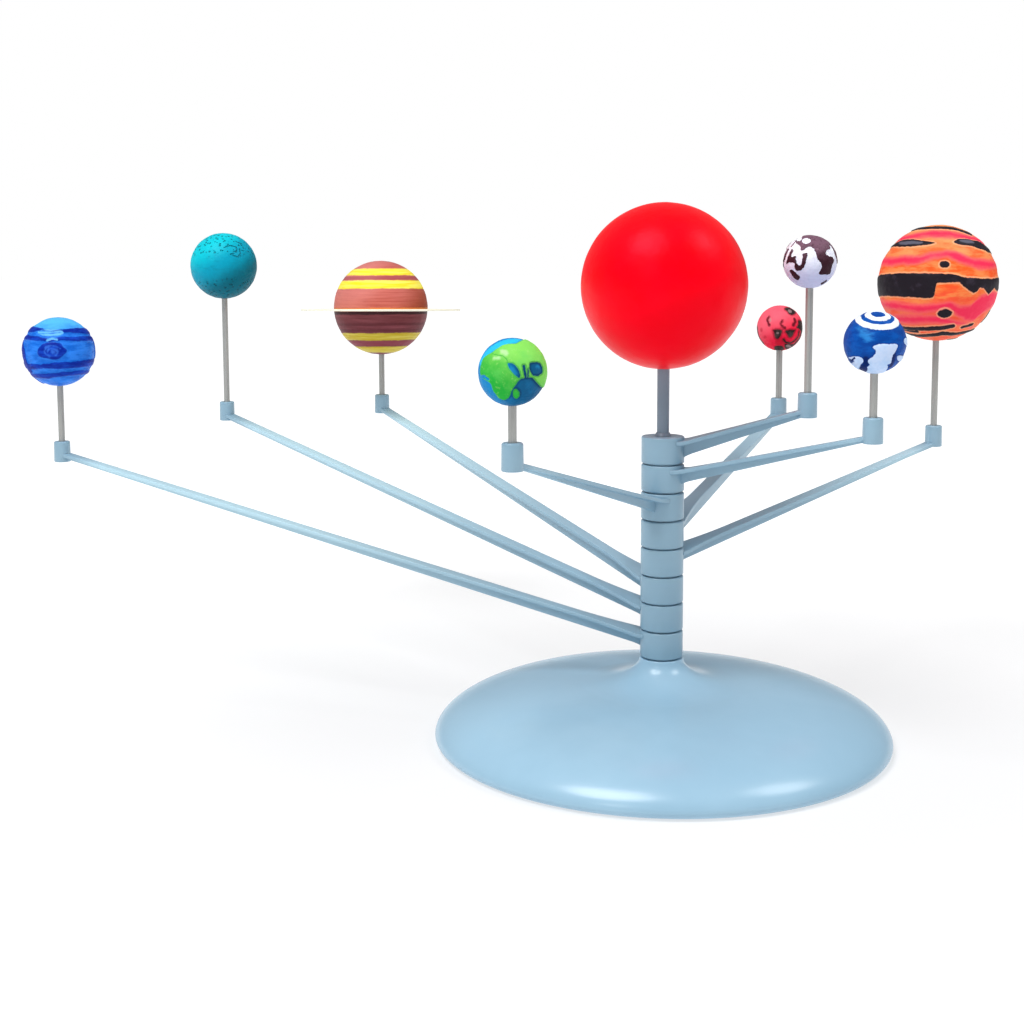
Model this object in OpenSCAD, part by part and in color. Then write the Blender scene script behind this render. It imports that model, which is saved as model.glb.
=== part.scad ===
// Desk orrery: eight arms turn on one column, each carrying a planet ball on a thin pin.
// The origin is the middle of the base's underside, +Z up. All sizes are in millimetres.

/* [Base] */
// Diameter of the round base
base_d = 150; // [140:1:160]
// Height of the dome at its middle, without the pedestal
dome_h = 18.8; // [17:0.1:21]
// Wall thickness of the moulded base
base_wall = 2.2; // [1.8:0.1:2.6]
// Thickness of the bottom plate
plate_t = 2; // [1.6:0.1:2.4]
// Number of screws that hold the bottom plate
plate_screws = 3; // [3:1:6]

/* [Column] */
// Height of the pedestal's top, where the stack of hubs begins
stack_z = 27.2; // [26:0.1:30]
// Outer diameter of every hub
hub_d = 14; // [13:0.1:15]
// Height that one hub takes in the stack
hub_pitch = 9.2; // [9:0.1:9.6]
// Diameter of the centre rod that the hubs turn on
rod_d = 4; // [3.6:0.1:4.4]
// Radial clearance of a hub on the centre rod
hub_clear = 0.05; // [0.03:0.01:0.1]

/* [Arms] */
// Width of the flange along the top of an arm
flange_w = 4.6; // [4:0.1:5]
// Thickness of the flange
flange_t = 1.3; // [1:0.1:1.6]
// Thickness of the web under the flange
web_t = 1.8; // [1.4:0.1:2.2]
// Distance from a hub's top down to its arm's top
root_drop = 1.2; // [1:0.1:1.4]
// Diameter of the socket at the end of an arm
socket_d = 6.3; // [5.8:0.1:6.6]
// Height of the socket
socket_h = 8; // [7:0.1:9]
// Diameter of the pins that hold the planet balls
pin_d = 2.4; // [1.8:0.1:2.6]

/* [Sun] */
// Height of the Sun's centre
sun_z = 149.5; // [146:0.5:153]
// Diameter of the Sun
sun_d = 53.8; // [50:0.2:55]

/* [Mercury] */
// Distance of the socket from the column's axis
mercury_reach = 46; // [44:1:48]
// Heading of the arm at rest, anticlockwise from +X
mercury_heading = 354.5; // [0:0.1:360]
// Height of the socket's foot
mercury_foot = 107.7; // [106:0.1:109]
// Depth of the arm where it leaves its hub
mercury_root_h = 5.2; // [4.8:0.1:5.6]
// Depth of the arm where it meets its socket
mercury_tip_h = 2.4; // [1.5:0.1:2.8]
// Height of the arm's underside above the socket's foot
mercury_lift = 0.6; // [0:0.1:2]
// Height of the ball's centre
mercury_ball_z = 157.2; // [155:0.1:160]
// Diameter of the ball
mercury_ball_d = 17.2; // [15:0.2:18]

/* [Venus] */
// Distance of the socket from the column's axis
venus_reach = 69; // [68:1:70]
// Heading of the arm at rest, anticlockwise from +X
venus_heading = 336.3; // [0:0.1:360]
// Height of the socket's foot
venus_foot = 102.5; // [101:0.1:103.5]
// Depth of the arm where it leaves its hub
venus_root_h = 4.5; // [4.1:0.1:4.9]
// Depth of the arm where it meets its socket
venus_tip_h = 1.8; // [1.5:0.1:2.8]
// Height of the arm's underside above the socket's foot
venus_lift = 0.9; // [0:0.1:2]
// Height of the ball's centre
venus_ball_z = 133.2; // [131:0.1:135]
// Diameter of the ball
venus_ball_d = 19; // [17:0.2:19.4]

/* [Earth] */
// Distance of the socket from the column's axis
earth_reach = 89; // [88:1:90]
// Heading of the arm at rest, anticlockwise from +X
earth_heading = 242.4; // [0:0.1:360]
// Height of the socket's foot
earth_foot = 100.4; // [99:0.1:101]
// Depth of the arm where it leaves its hub
earth_root_h = 4.2; // [3.8:0.1:4.6]
// Depth of the arm where it meets its socket
earth_tip_h = 1.6; // [1.5:0.1:2.8]
// Height of the arm's underside above the socket's foot
earth_lift = 1.1; // [0:0.1:2]
// Height of the ball's centre
earth_ball_z = 127.9; // [126:0.1:129]
// Diameter of the ball
earth_ball_d = 19.4; // [17:0.2:19.6]

/* [Mars] */
// Distance of the socket from the column's axis
mars_reach = 108; // [107:1:109]
// Heading of the arm at rest, anticlockwise from +X
mars_heading = 65.6; // [0:0.1:360]
// Height of the socket's foot
mars_foot = 95.9; // [95:0.1:97]
// Depth of the arm where it leaves its hub
mars_root_h = 6.9; // [6.4:0.1:6.9]
// Depth of the arm where it meets its socket
mars_tip_h = 2.7; // [1.5:0.1:2.8]
// Height of the arm's underside above the socket's foot
mars_lift = 0; // [0:0.1:2]
// Height of the ball's centre
mars_ball_z = 131; // [129:0.1:132]
// Diameter of the ball
mars_ball_d = 17.6; // [16:0.2:18]

/* [Jupiter] */
// Distance of the socket from the column's axis
jupiter_reach = 136; // [135:1:137]
// Heading of the arm at rest, anticlockwise from +X
jupiter_heading = 41.3; // [0:0.1:360]
// Height of the socket's foot
jupiter_foot = 86.7; // [86:0.1:88]
// Depth of the arm where it leaves its hub
jupiter_root_h = 4.3; // [3.9:0.1:4.7]
// Depth of the arm where it meets its socket
jupiter_tip_h = 1.6; // [1.5:0.1:2.8]
// Height of the arm's underside above the socket's foot
jupiter_lift = 0.4; // [0:0.1:2]
// Height of the ball's centre
jupiter_ball_z = 148.5; // [147:0.1:150]
// Diameter of the ball
jupiter_ball_d = 44.4; // [42:0.2:45]

/* [Saturn] */
// Distance of the socket from the column's axis
saturn_reach = 191; // [190:1:192]
// Heading of the arm at rest, anticlockwise from +X
saturn_heading = 129.4; // [0:0.1:360]
// Height of the socket's foot
saturn_foot = 91.4; // [90:0.1:92]
// Depth of the arm where it leaves its hub
saturn_root_h = 5.3; // [4.9:0.1:5.7]
// Depth of the arm where it meets its socket
saturn_tip_h = 2.1; // [1.5:0.1:2.8]
// Height of the arm's underside above the socket's foot
saturn_lift = 0.6; // [0:0.1:2]
// Height of the ball's centre
saturn_ball_z = 136.9; // [136:0.1:138]
// Diameter of the ball
saturn_ball_d = 40.4; // [38:0.2:41]
// Outer diameter of the ring
ring_d = 68.4; // [64:0.2:69]
// Thickness of the ring
ring_t = 0.8; // [0.6:0.1:1.2]
// Tilt of the ring, its -Y side raised
ring_tilt = 2; // [0:0.5:3]

/* [Uranus] */
// Distance of the socket from the column's axis
uranus_reach = 228; // [227:1:229]
// Heading of the arm at rest, anticlockwise from +X
uranus_heading = 144.5; // [0:0.1:360]
// Height of the socket's foot
uranus_foot = 89.4; // [88:0.1:90]
// Depth of the arm where it leaves its hub
uranus_root_h = 4.3; // [3.9:0.1:4.7]
// Depth of the arm where it meets its socket
uranus_tip_h = 2.3; // [1.5:0.1:2.8]
// Height of the arm's underside above the socket's foot
uranus_lift = 0.8; // [0:0.1:2]
// Height of the ball's centre
uranus_ball_z = 155.1; // [154:0.1:157]
// Diameter of the ball
uranus_ball_d = 27.8; // [26:0.2:28.4]

/* [Neptune] */
// Distance of the socket from the column's axis
neptune_reach = 244; // [243:1:246]
// Heading of the arm at rest, anticlockwise from +X
neptune_heading = 163.1; // [0:0.1:360]
// Height of the socket's foot
neptune_foot = 79.7; // [78:0.1:80.5]
// Depth of the arm where it leaves its hub
neptune_root_h = 4.4; // [4:0.1:4.8]
// Depth of the arm where it meets its socket
neptune_tip_h = 2; // [1.5:0.1:2.8]
// Height of the arm's underside above the socket's foot
neptune_lift = 1.7; // [0:0.1:2]
// Height of the ball's centre
neptune_ball_z = 122.7; // [121:0.1:124]
// Diameter of the ball
neptune_ball_d = 27.6; // [26:0.2:28]

/* [Hidden] */
$fn = 96;

plastic = [0.58, 0.72, 0.81];
rod_grey = [0.56, 0.62, 0.68];
steel = [0.62, 0.62, 0.61];
sun_red = [0.93, 0.06, 0.13];
mercury_grey = [0.86, 0.84, 0.93];
venus_blue = [0.10, 0.38, 0.72];
earth_blue = [0.08, 0.44, 0.76];
mars_red = [0.96, 0.20, 0.32];
jupiter_orange = [0.97, 0.57, 0.32];
saturn_brick = [0.66, 0.28, 0.27];
ring_cream = [0.93, 0.92, 0.72];
uranus_teal = [0.05, 0.60, 0.72];
neptune_blue = [0.18, 0.52, 0.92];

// one row for each planet: reach, heading, socket's foot, ball's height, ball's radius,
// then the arm's depth at the hub and at the socket, and its height above the socket's foot
REACH = 0;
HEADING = 1;
FOOT = 2;
BALL_Z = 3;
BALL_R = 4;
ROOT_H = 5;
TIP_H = 6;
LIFT = 7;
mercury = [mercury_reach, mercury_heading, mercury_foot, mercury_ball_z, mercury_ball_d / 2,
    mercury_root_h, mercury_tip_h, mercury_lift];
venus = [venus_reach, venus_heading, venus_foot, venus_ball_z, venus_ball_d / 2,
    venus_root_h, venus_tip_h, venus_lift];
earth = [earth_reach, earth_heading, earth_foot, earth_ball_z, earth_ball_d / 2,
    earth_root_h, earth_tip_h, earth_lift];
mars = [mars_reach, mars_heading, mars_foot, mars_ball_z, mars_ball_d / 2,
    mars_root_h, mars_tip_h, mars_lift];
jupiter = [jupiter_reach, jupiter_heading, jupiter_foot, jupiter_ball_z, jupiter_ball_d / 2,
    jupiter_root_h, jupiter_tip_h, jupiter_lift];
saturn = [saturn_reach, saturn_heading, saturn_foot, saturn_ball_z, saturn_ball_d / 2,
    saturn_root_h, saturn_tip_h, saturn_lift];
uranus = [uranus_reach, uranus_heading, uranus_foot, uranus_ball_z, uranus_ball_d / 2,
    uranus_root_h, uranus_tip_h, uranus_lift];
neptune = [neptune_reach, neptune_heading, neptune_foot, neptune_ball_z, neptune_ball_d / 2,
    neptune_root_h, neptune_tip_h, neptune_lift];

hub_count = 8;
hub_r = hub_d / 2;
rod_r = rod_d / 2;
pin_r = pin_d / 2;
socket_r = socket_d / 2;
base_r = base_d / 2;
eps = 0.01;
over = 1;

// each hub is a ring with a short boss below it, which shows as a dark line in the stack
thrust_gap = 0.1;
boss_h = 0.5;
boss_step = 1.2;
boss_r = hub_r - boss_step;
hub_h = hub_pitch - thrust_gap - boss_h;
hub_edge = 0.5;
hub_chamfer = 0.2;
root_spread = 50;
root_run = 30;
root_bend = 1.8;
root_fillet = 0.5;
fillet_run = 2;
flange_steps = 8;
root_reach_in = 2;
socket_edge = 0.7;
socket_taper = 0.1;
corner_steps = 4;

// the rim is a quarter of an ellipse, and the dome above it is a rounder superellipse
rim_w = 3.75;
rim_h = 2.45;
dome_flat = 1.77;
dome_round = 2.81;
flare_w = 22;
flare_dip = 0.5;
flare_h = stack_z - dome_h + flare_dip;
flare_end = 81;
pedestal_step = 0.2;
rim_steps = 6;
dome_steps = 28;
flare_steps = 12;

// fasteners and what they bite into
screw_r = 1.4;
screw_head_r = 2.8;
screw_head_h = 1.4;
screw_len = 9;
screw_circle = 52;
screw_start = 30;
screw_boss_r = 3.6;
tight = 0.02;
rod_boss_r = 5.2;
rod_boss_z = 7;
rod_foot_z = 8;
rod_screw_len = 11;
washer_r = 4.4;
washer_t = 0.8;
washer_slack = 0.2;
collar_h = 1;
collar_r = 2.7;
collar_top_r = 2.25;
sun_grip = 14;
pin_stop = 0.3;
pin_floor = 2;
pin_slack = 0.02;
ring_seat = 0.7;
ring_drop = 1;
plate_gap = 0.2;
screw_slack = 0.3;
slot_w = 0.6;
slot_l = 3.2;
slot_d = 0.8;
rod_head_h = 1.9;
screw_sink = 0.1;
rod_head_z = rod_boss_z - washer_t - rod_head_h;
screw_boss_drop = 6;
screw_boss_top = dome_h - screw_boss_drop;

function hub_top(level) = stack_z + hub_pitch * (hub_count + 1 - level);
function pin_top(p) = p[BALL_Z] - pin_stop * p[BALL_R];
function dome_z(r, edge, top) = rim_h
    + (top - rim_h) * pow(1 - pow(min(r / edge, 1), dome_round), 1 / dome_flat);
function flare_z(a) = stack_z - flare_h * sin(a);
function flare_r(a) = hub_r + pedestal_step + flare_w * (1 - cos(a));

// the outline of the base from the edge of its underside up to the top of the pedestal
base_outline = concat(
    [for (i = [0:rim_steps]) let (a = 90 * i / rim_steps - 90)
        [base_r - rim_w + rim_w * cos(a), rim_h + rim_h * sin(a)]],
    [for (i = [1:dome_steps])
        let (r = base_r - (base_r - flare_r(flare_end)) * (1 - cos(90 * i / dome_steps)))
        [r, dome_z(r, base_r, dome_h)]],
    [for (i = [1:flare_steps]) let (a = flare_end * (1 - i / flare_steps))
        [flare_r(a), flare_z(a)]]);

// the hollow under the dome follows the outside at the wall's thickness
hollow_r = base_r - rim_w - base_wall;
hollow_outline = concat(
    [[0, -eps], [hollow_r, -eps], [hollow_r, rim_h]],
    [for (i = [1:dome_steps]) let (r = hollow_r * cos(90 * i / dome_steps))
        [r, dome_z(r, hollow_r, dome_h - base_wall)]]);

module screw_spots() {
    for (i = [0:plate_screws - 1])
        rotate([0, 0, 360 * i / plate_screws + screw_start])
            translate([screw_circle, 0, 0])
                children();
}

module base_shell() {
    color(plastic)
    difference() {
        union() {
            difference() {
                rotate_extrude()
                    polygon(concat([[0, 0]], base_outline, [[0, stack_z]]));
                rotate_extrude()
                    polygon(hollow_outline);
            }
            screw_spots()
                translate([0, 0, plate_t])
                    cylinder(r = screw_boss_r, h = screw_boss_top - plate_t);
            translate([0, 0, rod_boss_z])
                cylinder(r = rod_boss_r, h = dome_h - rod_boss_z);
        }
        translate([0, 0, rod_foot_z])
            cylinder(r = rod_r + tight, h = stack_z);
        cylinder(r = screw_r + tight, h = stack_z);
        screw_spots()
            cylinder(r = screw_r + tight, h = plate_t + screw_len);
    }
}

module base_plate() {
    color(plastic)
    difference() {
        cylinder(r = hollow_r - plate_gap, h = plate_t);
        screw_spots()
            translate([0, 0, -eps]) {
                cylinder(r = screw_r + screw_slack, h = plate_t + over);
                cylinder(r1 = screw_head_r + plate_gap, r2 = screw_r + screw_slack,
                    h = screw_head_h + screw_sink);
            }
    }
}

module plate_screws_set() {
    color(steel)
    screw_spots()
        difference() {
            union() {
                translate([0, 0, screw_sink])
                    cylinder(r1 = screw_head_r, r2 = screw_r, h = screw_head_h);
                translate([0, 0, screw_head_h])
                    cylinder(r = screw_r, h = screw_len - screw_head_h);
            }
            for (a = [0, 90])
                rotate([0, 0, a])
                    cube([slot_l, slot_w, 2 * slot_d], center = true);
        }
}

module centre_rod() {
    color(rod_grey)
    difference() {
        translate([0, 0, rod_foot_z])
            cylinder(r = rod_r, h = sun_z - sun_grip - rod_foot_z);
        cylinder(r = screw_r + tight, h = rod_boss_z + rod_screw_len);
    }
}

module rod_screw() {
    color(steel)
    difference() {
        union() {
            translate([0, 0, rod_head_z])
                cylinder(r = screw_head_r, h = rod_head_h);
            translate([0, 0, rod_head_z + rod_head_h - eps])
                cylinder(r = screw_r, h = rod_screw_len - washer_t);
        }
        for (a = [0, 90])
            rotate([0, 0, a])
                translate([0, 0, rod_head_z])
                    cube([slot_l, slot_w, 2 * slot_d], center = true);
    }
}

module rod_washer() {
    color(steel)
    translate([0, 0, rod_boss_z - washer_t])
        difference() {
            cylinder(r = washer_r, h = washer_t);
            translate([0, 0, -over])
                cylinder(r = screw_r + washer_slack, h = washer_t + 2 * over);
        }
}

module rod_collar() {
    color(rod_grey)
    translate([0, 0, hub_top(1) + thrust_gap])
        difference() {
            cylinder(r1 = collar_r, r2 = collar_top_r, h = collar_h);
            translate([0, 0, -over])
                cylinder(r = rod_r + tight, h = collar_h + 2 * over);
        }
}

module sun_ball() {
    color(sun_red)
    difference() {
        translate([0, 0, sun_z])
            sphere(r = sun_d / 2);
        cylinder(r = rod_r + tight, h = sun_z - sun_grip);
    }
}

// a hub with its rounded top edge and the boss below it, around the origin's axis
module hub(top) {
    translate([0, 0, top - hub_h])
        rotate_extrude()
            polygon(concat([[0, 0], [hub_r - hub_chamfer, 0], [hub_r, hub_chamfer]],
                [for (i = [0:corner_steps]) let (a = 90 * i / corner_steps)
                    [hub_r - hub_edge * (1 - cos(a)), hub_h - hub_edge * (1 - sin(a))]],
                [[0, hub_h]]));
    translate([0, 0, top - hub_h - boss_h])
        cylinder(r = boss_r, h = boss_h + eps);
}

module socket(p) {
    translate([p[REACH], 0, p[FOOT]])
        rotate_extrude()
            polygon(concat([[0, 0], [socket_r - hub_chamfer, 0], [socket_r, hub_chamfer]],
                [for (i = [0:corner_steps]) let (a = 90 * i / corner_steps)
                    [socket_r - socket_taper - socket_edge * (1 - cos(a)),
                        socket_h - socket_edge * (1 - sin(a))]],
                [[0, socket_h]]));
}

// an outline in the arm's own upright plane, given some width
module upright(width) {
    translate([0, width / 2, 0])
        rotate([90, 0, 0])
            linear_extrude(width)
                children();
}

// the flange seen from above: it spreads out to meet the hub
module flange_plan(reach) {
    root_x = hub_r * cos(root_spread);
    root_w = hub_r * sin(root_spread);
    side = [for (i = [0:flange_steps]) let (u = i / flange_steps)
        [root_x + (root_run - root_x) * u,
            flange_w / 2 + (root_w - flange_w / 2) * pow(1 - u, root_bend)]];
    polygon(concat([[0, root_w]], side, [[reach, flange_w / 2], [reach, -flange_w / 2]],
        [for (i = [flange_steps:-1:0]) [side[i][0], -side[i][1]]], [[0, -root_w]]));
}

module planet_arm(p, level) {
    top = hub_top(level) - root_drop;
    reach = p[REACH];
    foot = p[FOOT] + p[LIFT];
    tip = foot + p[TIP_H];
    root_x = hub_r - root_reach_in;
    sink = (foot - (top - p[ROOT_H])) / (reach - hub_r);
    color(plastic)
    rotate([0, 0, p[HEADING]])
        difference() {
            union() {
                hub(hub_top(level));
                intersection() {
                    upright(3 * hub_r)
                        polygon([[root_x, top], [hub_r, top], [reach, tip], [reach, tip - flange_t],
                            [hub_r, top - flange_t], [root_x, top - flange_t]]);
                    translate([0, 0, top - 2 * flange_t])
                        linear_extrude(tip - top + 3 * flange_t)
                            flange_plan(reach);
                }
                upright(web_t)
                    polygon(concat([[root_x, top - flange_t / 2], [hub_r, top - flange_t / 2],
                            [reach, tip - flange_t / 2], [reach, foot]],
                        [for (i = [corner_steps:-1:0]) let (u = i / corner_steps, x = hub_r + fillet_run * u)
                            [x, top - p[ROOT_H] + sink * (x - hub_r) - root_fillet * pow(1 - u, 2)]],
                        [[root_x, top - p[ROOT_H] - root_fillet]]));
                socket(p);
            }
            translate([0, 0, top - hub_pitch])
                cylinder(r = rod_r + hub_clear, h = 2 * hub_pitch);
            translate([reach, 0, p[FOOT] + pin_floor])
                cylinder(r = pin_r + pin_slack, h = socket_h);
        }
}

module planet_pin(p) {
    color(steel)
    rotate([0, 0, p[HEADING]])
        translate([p[REACH], 0, p[FOOT] + pin_floor])
            cylinder(r = pin_r, h = pin_top(p) - p[FOOT] - pin_floor);
}

module planet_ball(p) {
    rotate([0, 0, p[HEADING]])
        translate([p[REACH], 0, 0])
            difference() {
                translate([0, 0, p[BALL_Z]])
                    sphere(r = p[BALL_R]);
                cylinder(r = pin_r + pin_slack, h = pin_top(p));
            }
}

// puts a shape at the middle of Saturn, tilted as its ring is
module at_ring() {
    rotate([0, 0, saturn_heading])
        translate([saturn_reach, 0, saturn_ball_z - ring_drop])
            rotate([0, 0, -saturn_heading])
                rotate([-ring_tilt, 0, 0])
                    children();
}

module ring_band(inner, outer, thick) {
    rotate_extrude()
        translate([inner, -thick / 2])
            square([outer - inner, thick]);
}

module mercury_arm() planet_arm(mercury, 1);
module mercury_pin() planet_pin(mercury);
module mercury_ball() color(mercury_grey) planet_ball(mercury);

module venus_arm() planet_arm(venus, 2);
module venus_pin() planet_pin(venus);
module venus_ball() color(venus_blue) planet_ball(venus);

module earth_arm() planet_arm(earth, 3);
module earth_pin() planet_pin(earth);
module earth_ball() color(earth_blue) planet_ball(earth);

module mars_arm() planet_arm(mars, 4);
module mars_pin() planet_pin(mars);
module mars_ball() color(mars_red) planet_ball(mars);

module jupiter_arm() planet_arm(jupiter, 5);
module jupiter_pin() planet_pin(jupiter);
module jupiter_ball() color(jupiter_orange) planet_ball(jupiter);

module saturn_arm() planet_arm(saturn, 6);
module saturn_pin() planet_pin(saturn);
module saturn_ball() {
    color(saturn_brick)
    difference() {
        planet_ball(saturn);
        at_ring()
            ring_band(saturn[BALL_R] - ring_seat, saturn[BALL_R] + over, ring_t);
    }
}
module saturn_ring() {
    color(ring_cream)
    at_ring()
        ring_band(saturn[BALL_R] - ring_seat, ring_d / 2, ring_t);
}

module uranus_arm() planet_arm(uranus, 7);
module uranus_pin() planet_pin(uranus);
module uranus_ball() color(uranus_teal) planet_ball(uranus);

module neptune_arm() planet_arm(neptune, 8);
module neptune_pin() planet_pin(neptune);
module neptune_ball() color(neptune_blue) planet_ball(neptune);

base_shell();
base_plate();
plate_screws_set();
centre_rod();
rod_screw();
rod_washer();
rod_collar();
sun_ball();
mercury_arm();
mercury_pin();
mercury_ball();
venus_arm();
venus_pin();
venus_ball();
earth_arm();
earth_pin();
earth_ball();
mars_arm();
mars_pin();
mars_ball();
jupiter_arm();
jupiter_pin();
jupiter_ball();
saturn_arm();
saturn_pin();
saturn_ball();
saturn_ring();
uranus_arm();
uranus_pin();
uranus_ball();
neptune_arm();
neptune_pin();
neptune_ball();
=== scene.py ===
# Desk orrery: a moulded base and column, eight turning arms, and nine hand-painted balls on pins.
# Sizes in the dictionaries are millimetres and degrees; meshes are made in metres.
import math
import bmesh
import bpy
import numpy as np
from mathutils import Matrix, Vector, noise


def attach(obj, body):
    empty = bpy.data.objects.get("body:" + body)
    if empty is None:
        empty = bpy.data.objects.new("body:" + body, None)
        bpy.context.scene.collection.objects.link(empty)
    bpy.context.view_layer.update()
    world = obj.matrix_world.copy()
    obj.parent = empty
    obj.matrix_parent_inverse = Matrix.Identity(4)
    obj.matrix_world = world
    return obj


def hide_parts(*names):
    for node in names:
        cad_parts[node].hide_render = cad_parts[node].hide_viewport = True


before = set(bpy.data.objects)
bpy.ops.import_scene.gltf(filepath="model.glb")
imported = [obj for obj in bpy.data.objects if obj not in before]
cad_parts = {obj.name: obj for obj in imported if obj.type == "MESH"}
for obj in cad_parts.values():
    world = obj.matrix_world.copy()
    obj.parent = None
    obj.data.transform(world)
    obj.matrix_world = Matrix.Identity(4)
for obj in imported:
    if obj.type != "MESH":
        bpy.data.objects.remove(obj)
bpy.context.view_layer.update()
mm = 0.001
print("frame loaded:", len(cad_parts), "nodes")


# a value in a node tree; +, - and * add the Math nodes
class Wire:
    def __init__(self, finish, socket):
        self.finish = finish
        self.socket = socket

    def maths(self, operation, first, second):
        return self.finish.add("ShaderNodeMath", {"operation": operation}, {0: first, 1: second})

    def __add__(self, other):
        return self.maths("ADD", self, other)

    def __radd__(self, other):
        return self.maths("ADD", other, self)

    def __sub__(self, other):
        return self.maths("SUBTRACT", self, other)

    def __rsub__(self, other):
        return self.maths("SUBTRACT", other, self)

    def __mul__(self, other):
        return self.maths("MULTIPLY", self, other)

    def __rmul__(self, other):
        return self.maths("MULTIPLY", other, self)


# one material being built: add() makes any node, the rest are short cuts to it
class Finish:
    def __init__(self, name):
        self.material = bpy.data.materials.new(name)
        self.material.use_nodes = True
        self.tree = self.material.node_tree
        self.shader = self.tree.nodes["Principled BSDF"]
        self.place = self.add("ShaderNodeTexCoord", {}, {}, "Object")

    def add(self, kind, settings, inputs, out=0):
        node = self.tree.nodes.new(kind)
        for key, value in settings.items():
            setattr(node, key, value)
        for key, value in inputs.items():
            self.feed(node.inputs[key], value)
        return Wire(self, node.outputs[out])

    def feed(self, socket, value):
        if isinstance(value, Wire):
            self.tree.links.new(value.socket, socket)
        else:
            socket.default_value = value

    def surface(self, **inputs):
        for key, value in inputs.items():
            self.feed(self.shader.inputs[key.replace("_", " ")], value)
        return self.material

    def noise(self, scale, detail, rough, stretch=None):
        where = self.place
        if stretch:
            where = self.add("ShaderNodeMapping", {}, {"Vector": where, "Scale": stretch})
        return self.add("ShaderNodeTexNoise", {}, {
            "Vector": where, "Scale": scale, "Detail": detail, "Roughness": rough})

    def field(self, name):
        return self.add("ShaderNodeAttribute", {"attribute_name": name}, {}, "Fac")

    # 0 below low, 1 above high, with a soft edge between
    def step(self, value, low, high):
        return self.add("ShaderNodeMapRange", {"interpolation_type": "SMOOTHSTEP"}, {
            "Value": value, "From Min": low, "From Max": high})

    def blend(self, mask, under, over):
        return self.add("ShaderNodeMix", {"data_type": "RGBA"}, {0: mask, 6: under, 7: over}, 2)

    # two colours mottled by a noise
    def mottle(self, grain, low, high, under, over):
        return self.blend(self.step(grain, low, high), under, over)

    # colour over all that lies inside a painted field
    def cover(self, mask, low, high, amount, under, over):
        return self.blend(self.step(mask, low, high) * amount, under, over)

    def larger(self, one, two):
        return self.add("ShaderNodeMath", {"operation": "MAXIMUM"}, {0: one, 1: two})

    def bump(self, height, depth, strength, below=None):
        inputs = {"Height": height, "Distance": depth, "Strength": strength}
        if below:
            inputs["Normal"] = below
        return self.add("ShaderNodeBump", {}, inputs, "Normal")


# a colour as it is picked on a screen, 0 to 255
def paint(red, green, blue):
    def linear(c):
        c /= 255
        return c / 12.92 if c <= 0.04045 else ((c + 0.055) / 1.055) ** 2.4
    return (linear(red), linear(green), linear(blue), 1.0)


# screen colours of the unpainted parts, and how rough they are
plastics = dict(
    moulding=dict(tone=(163, 201, 224), deep=(154, 193, 217), rough=0.21),
    # the arms are of the base's plastic: their darker tone is painted shade, and their paler outer ends
    # are painted light
    arm_moulding=dict(tone=(146, 180, 199), deep=(136, 170, 190), rough=0.28, pale=(186, 220, 234),
                      paleFrom=20.0, paleTo=170.0),
    rod_moulding=dict(tone=(128, 144, 160), deep=(112, 128, 144), rough=0.3))
steels = dict(
    pin_steel=dict(tone=(178, 179, 176), metal=0.5, rough=0.36),
    fastener_steel=dict(tone=(150, 150, 148), metal=0.9, rough=0.3))


def mouldedPlastic(name):
    f = Finish(name)
    p = plastics[name]
    tone, deep = paint(*p["tone"]), paint(*p["deep"])
    cloud = f.noise(22.0, 4.0, 0.55)
    speck = f.noise(900.0, 2.0, 0.6)
    colour = f.mottle(cloud, 0.3, 0.7, tone, deep)
    colour = f.cover(speck, 0.62, 0.8, 0.25, colour, deep)
    if "pale" in p:  # painted light: the bars are paler far from the column, where more light reaches them
        colour = f.mottle(f.field("bar_out"), p["paleFrom"], p["paleTo"], colour, paint(*p["pale"]))
    worn = f.step(f.noise(40.0, 4.0, 0.6, (1.0, 0.3, 1.0)), 0.45, 0.8)
    skin = f.bump(f.noise(1500.0, 2.0, 0.5), 0.00001, 0.06)
    skin = f.bump(f.noise(45.0, 2.0, 0.5), 0.0003, 0.05, skin)
    return f.surface(Base_Color=colour, Roughness=p["rough"] + 0.06 * cloud + 0.03 * worn,
                     Specular_IOR_Level=0.5, Normal=skin)


def drawnSteel(name):
    f = Finish(name)
    p = steels[name]
    tone = paint(*p["tone"])
    grain = f.noise(2600.0, 3.0, 0.6, (1.0, 1.0, 0.02))
    stain = f.noise(300.0, 4.0, 0.6)
    dark = tuple(0.72 * c for c in tone[:3]) + (1.0,)
    colour = f.blend(f.step(grain, 0.3, 0.7) * 0.6 + 0.2 * stain, tone, dark)
    skin = f.bump(grain, 0.00002, 0.5)
    return f.surface(Base_Color=colour, Metallic=p["metal"],
                     Roughness=p["rough"] + 0.18 * stain - 0.05 * grain, Normal=skin)


moulding, armMoulding, rodMoulding = (mouldedPlastic(name) for name in plastics)
pinSteel, screwSteel = (drawnSteel(name) for name in steels)


def toPiece(name, mesh, body, node, material, smoothAngle=35):
    bmesh.ops.remove_doubles(mesh, verts=mesh.verts, dist=0.000002)
    bmesh.ops.recalc_face_normals(mesh, faces=mesh.faces)
    data = bpy.data.meshes.new(name)
    mesh.to_mesh(data)
    mesh.free()
    piece = bpy.data.objects.new(name, data)
    bpy.context.scene.collection.objects.link(piece)
    data.materials.append(material)
    data.shade_smooth()
    if smoothAngle:
        data.set_sharp_from_angle(angle=math.radians(smoothAngle))
    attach(piece, body)
    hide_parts(node)
    return piece


# a number at each point of a piece, for its finish to read
def setField(piece, key, values):
    layer = piece.data.attributes.new(key, "FLOAT", "POINT")
    layer.data.foreach_set("value", values)


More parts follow.
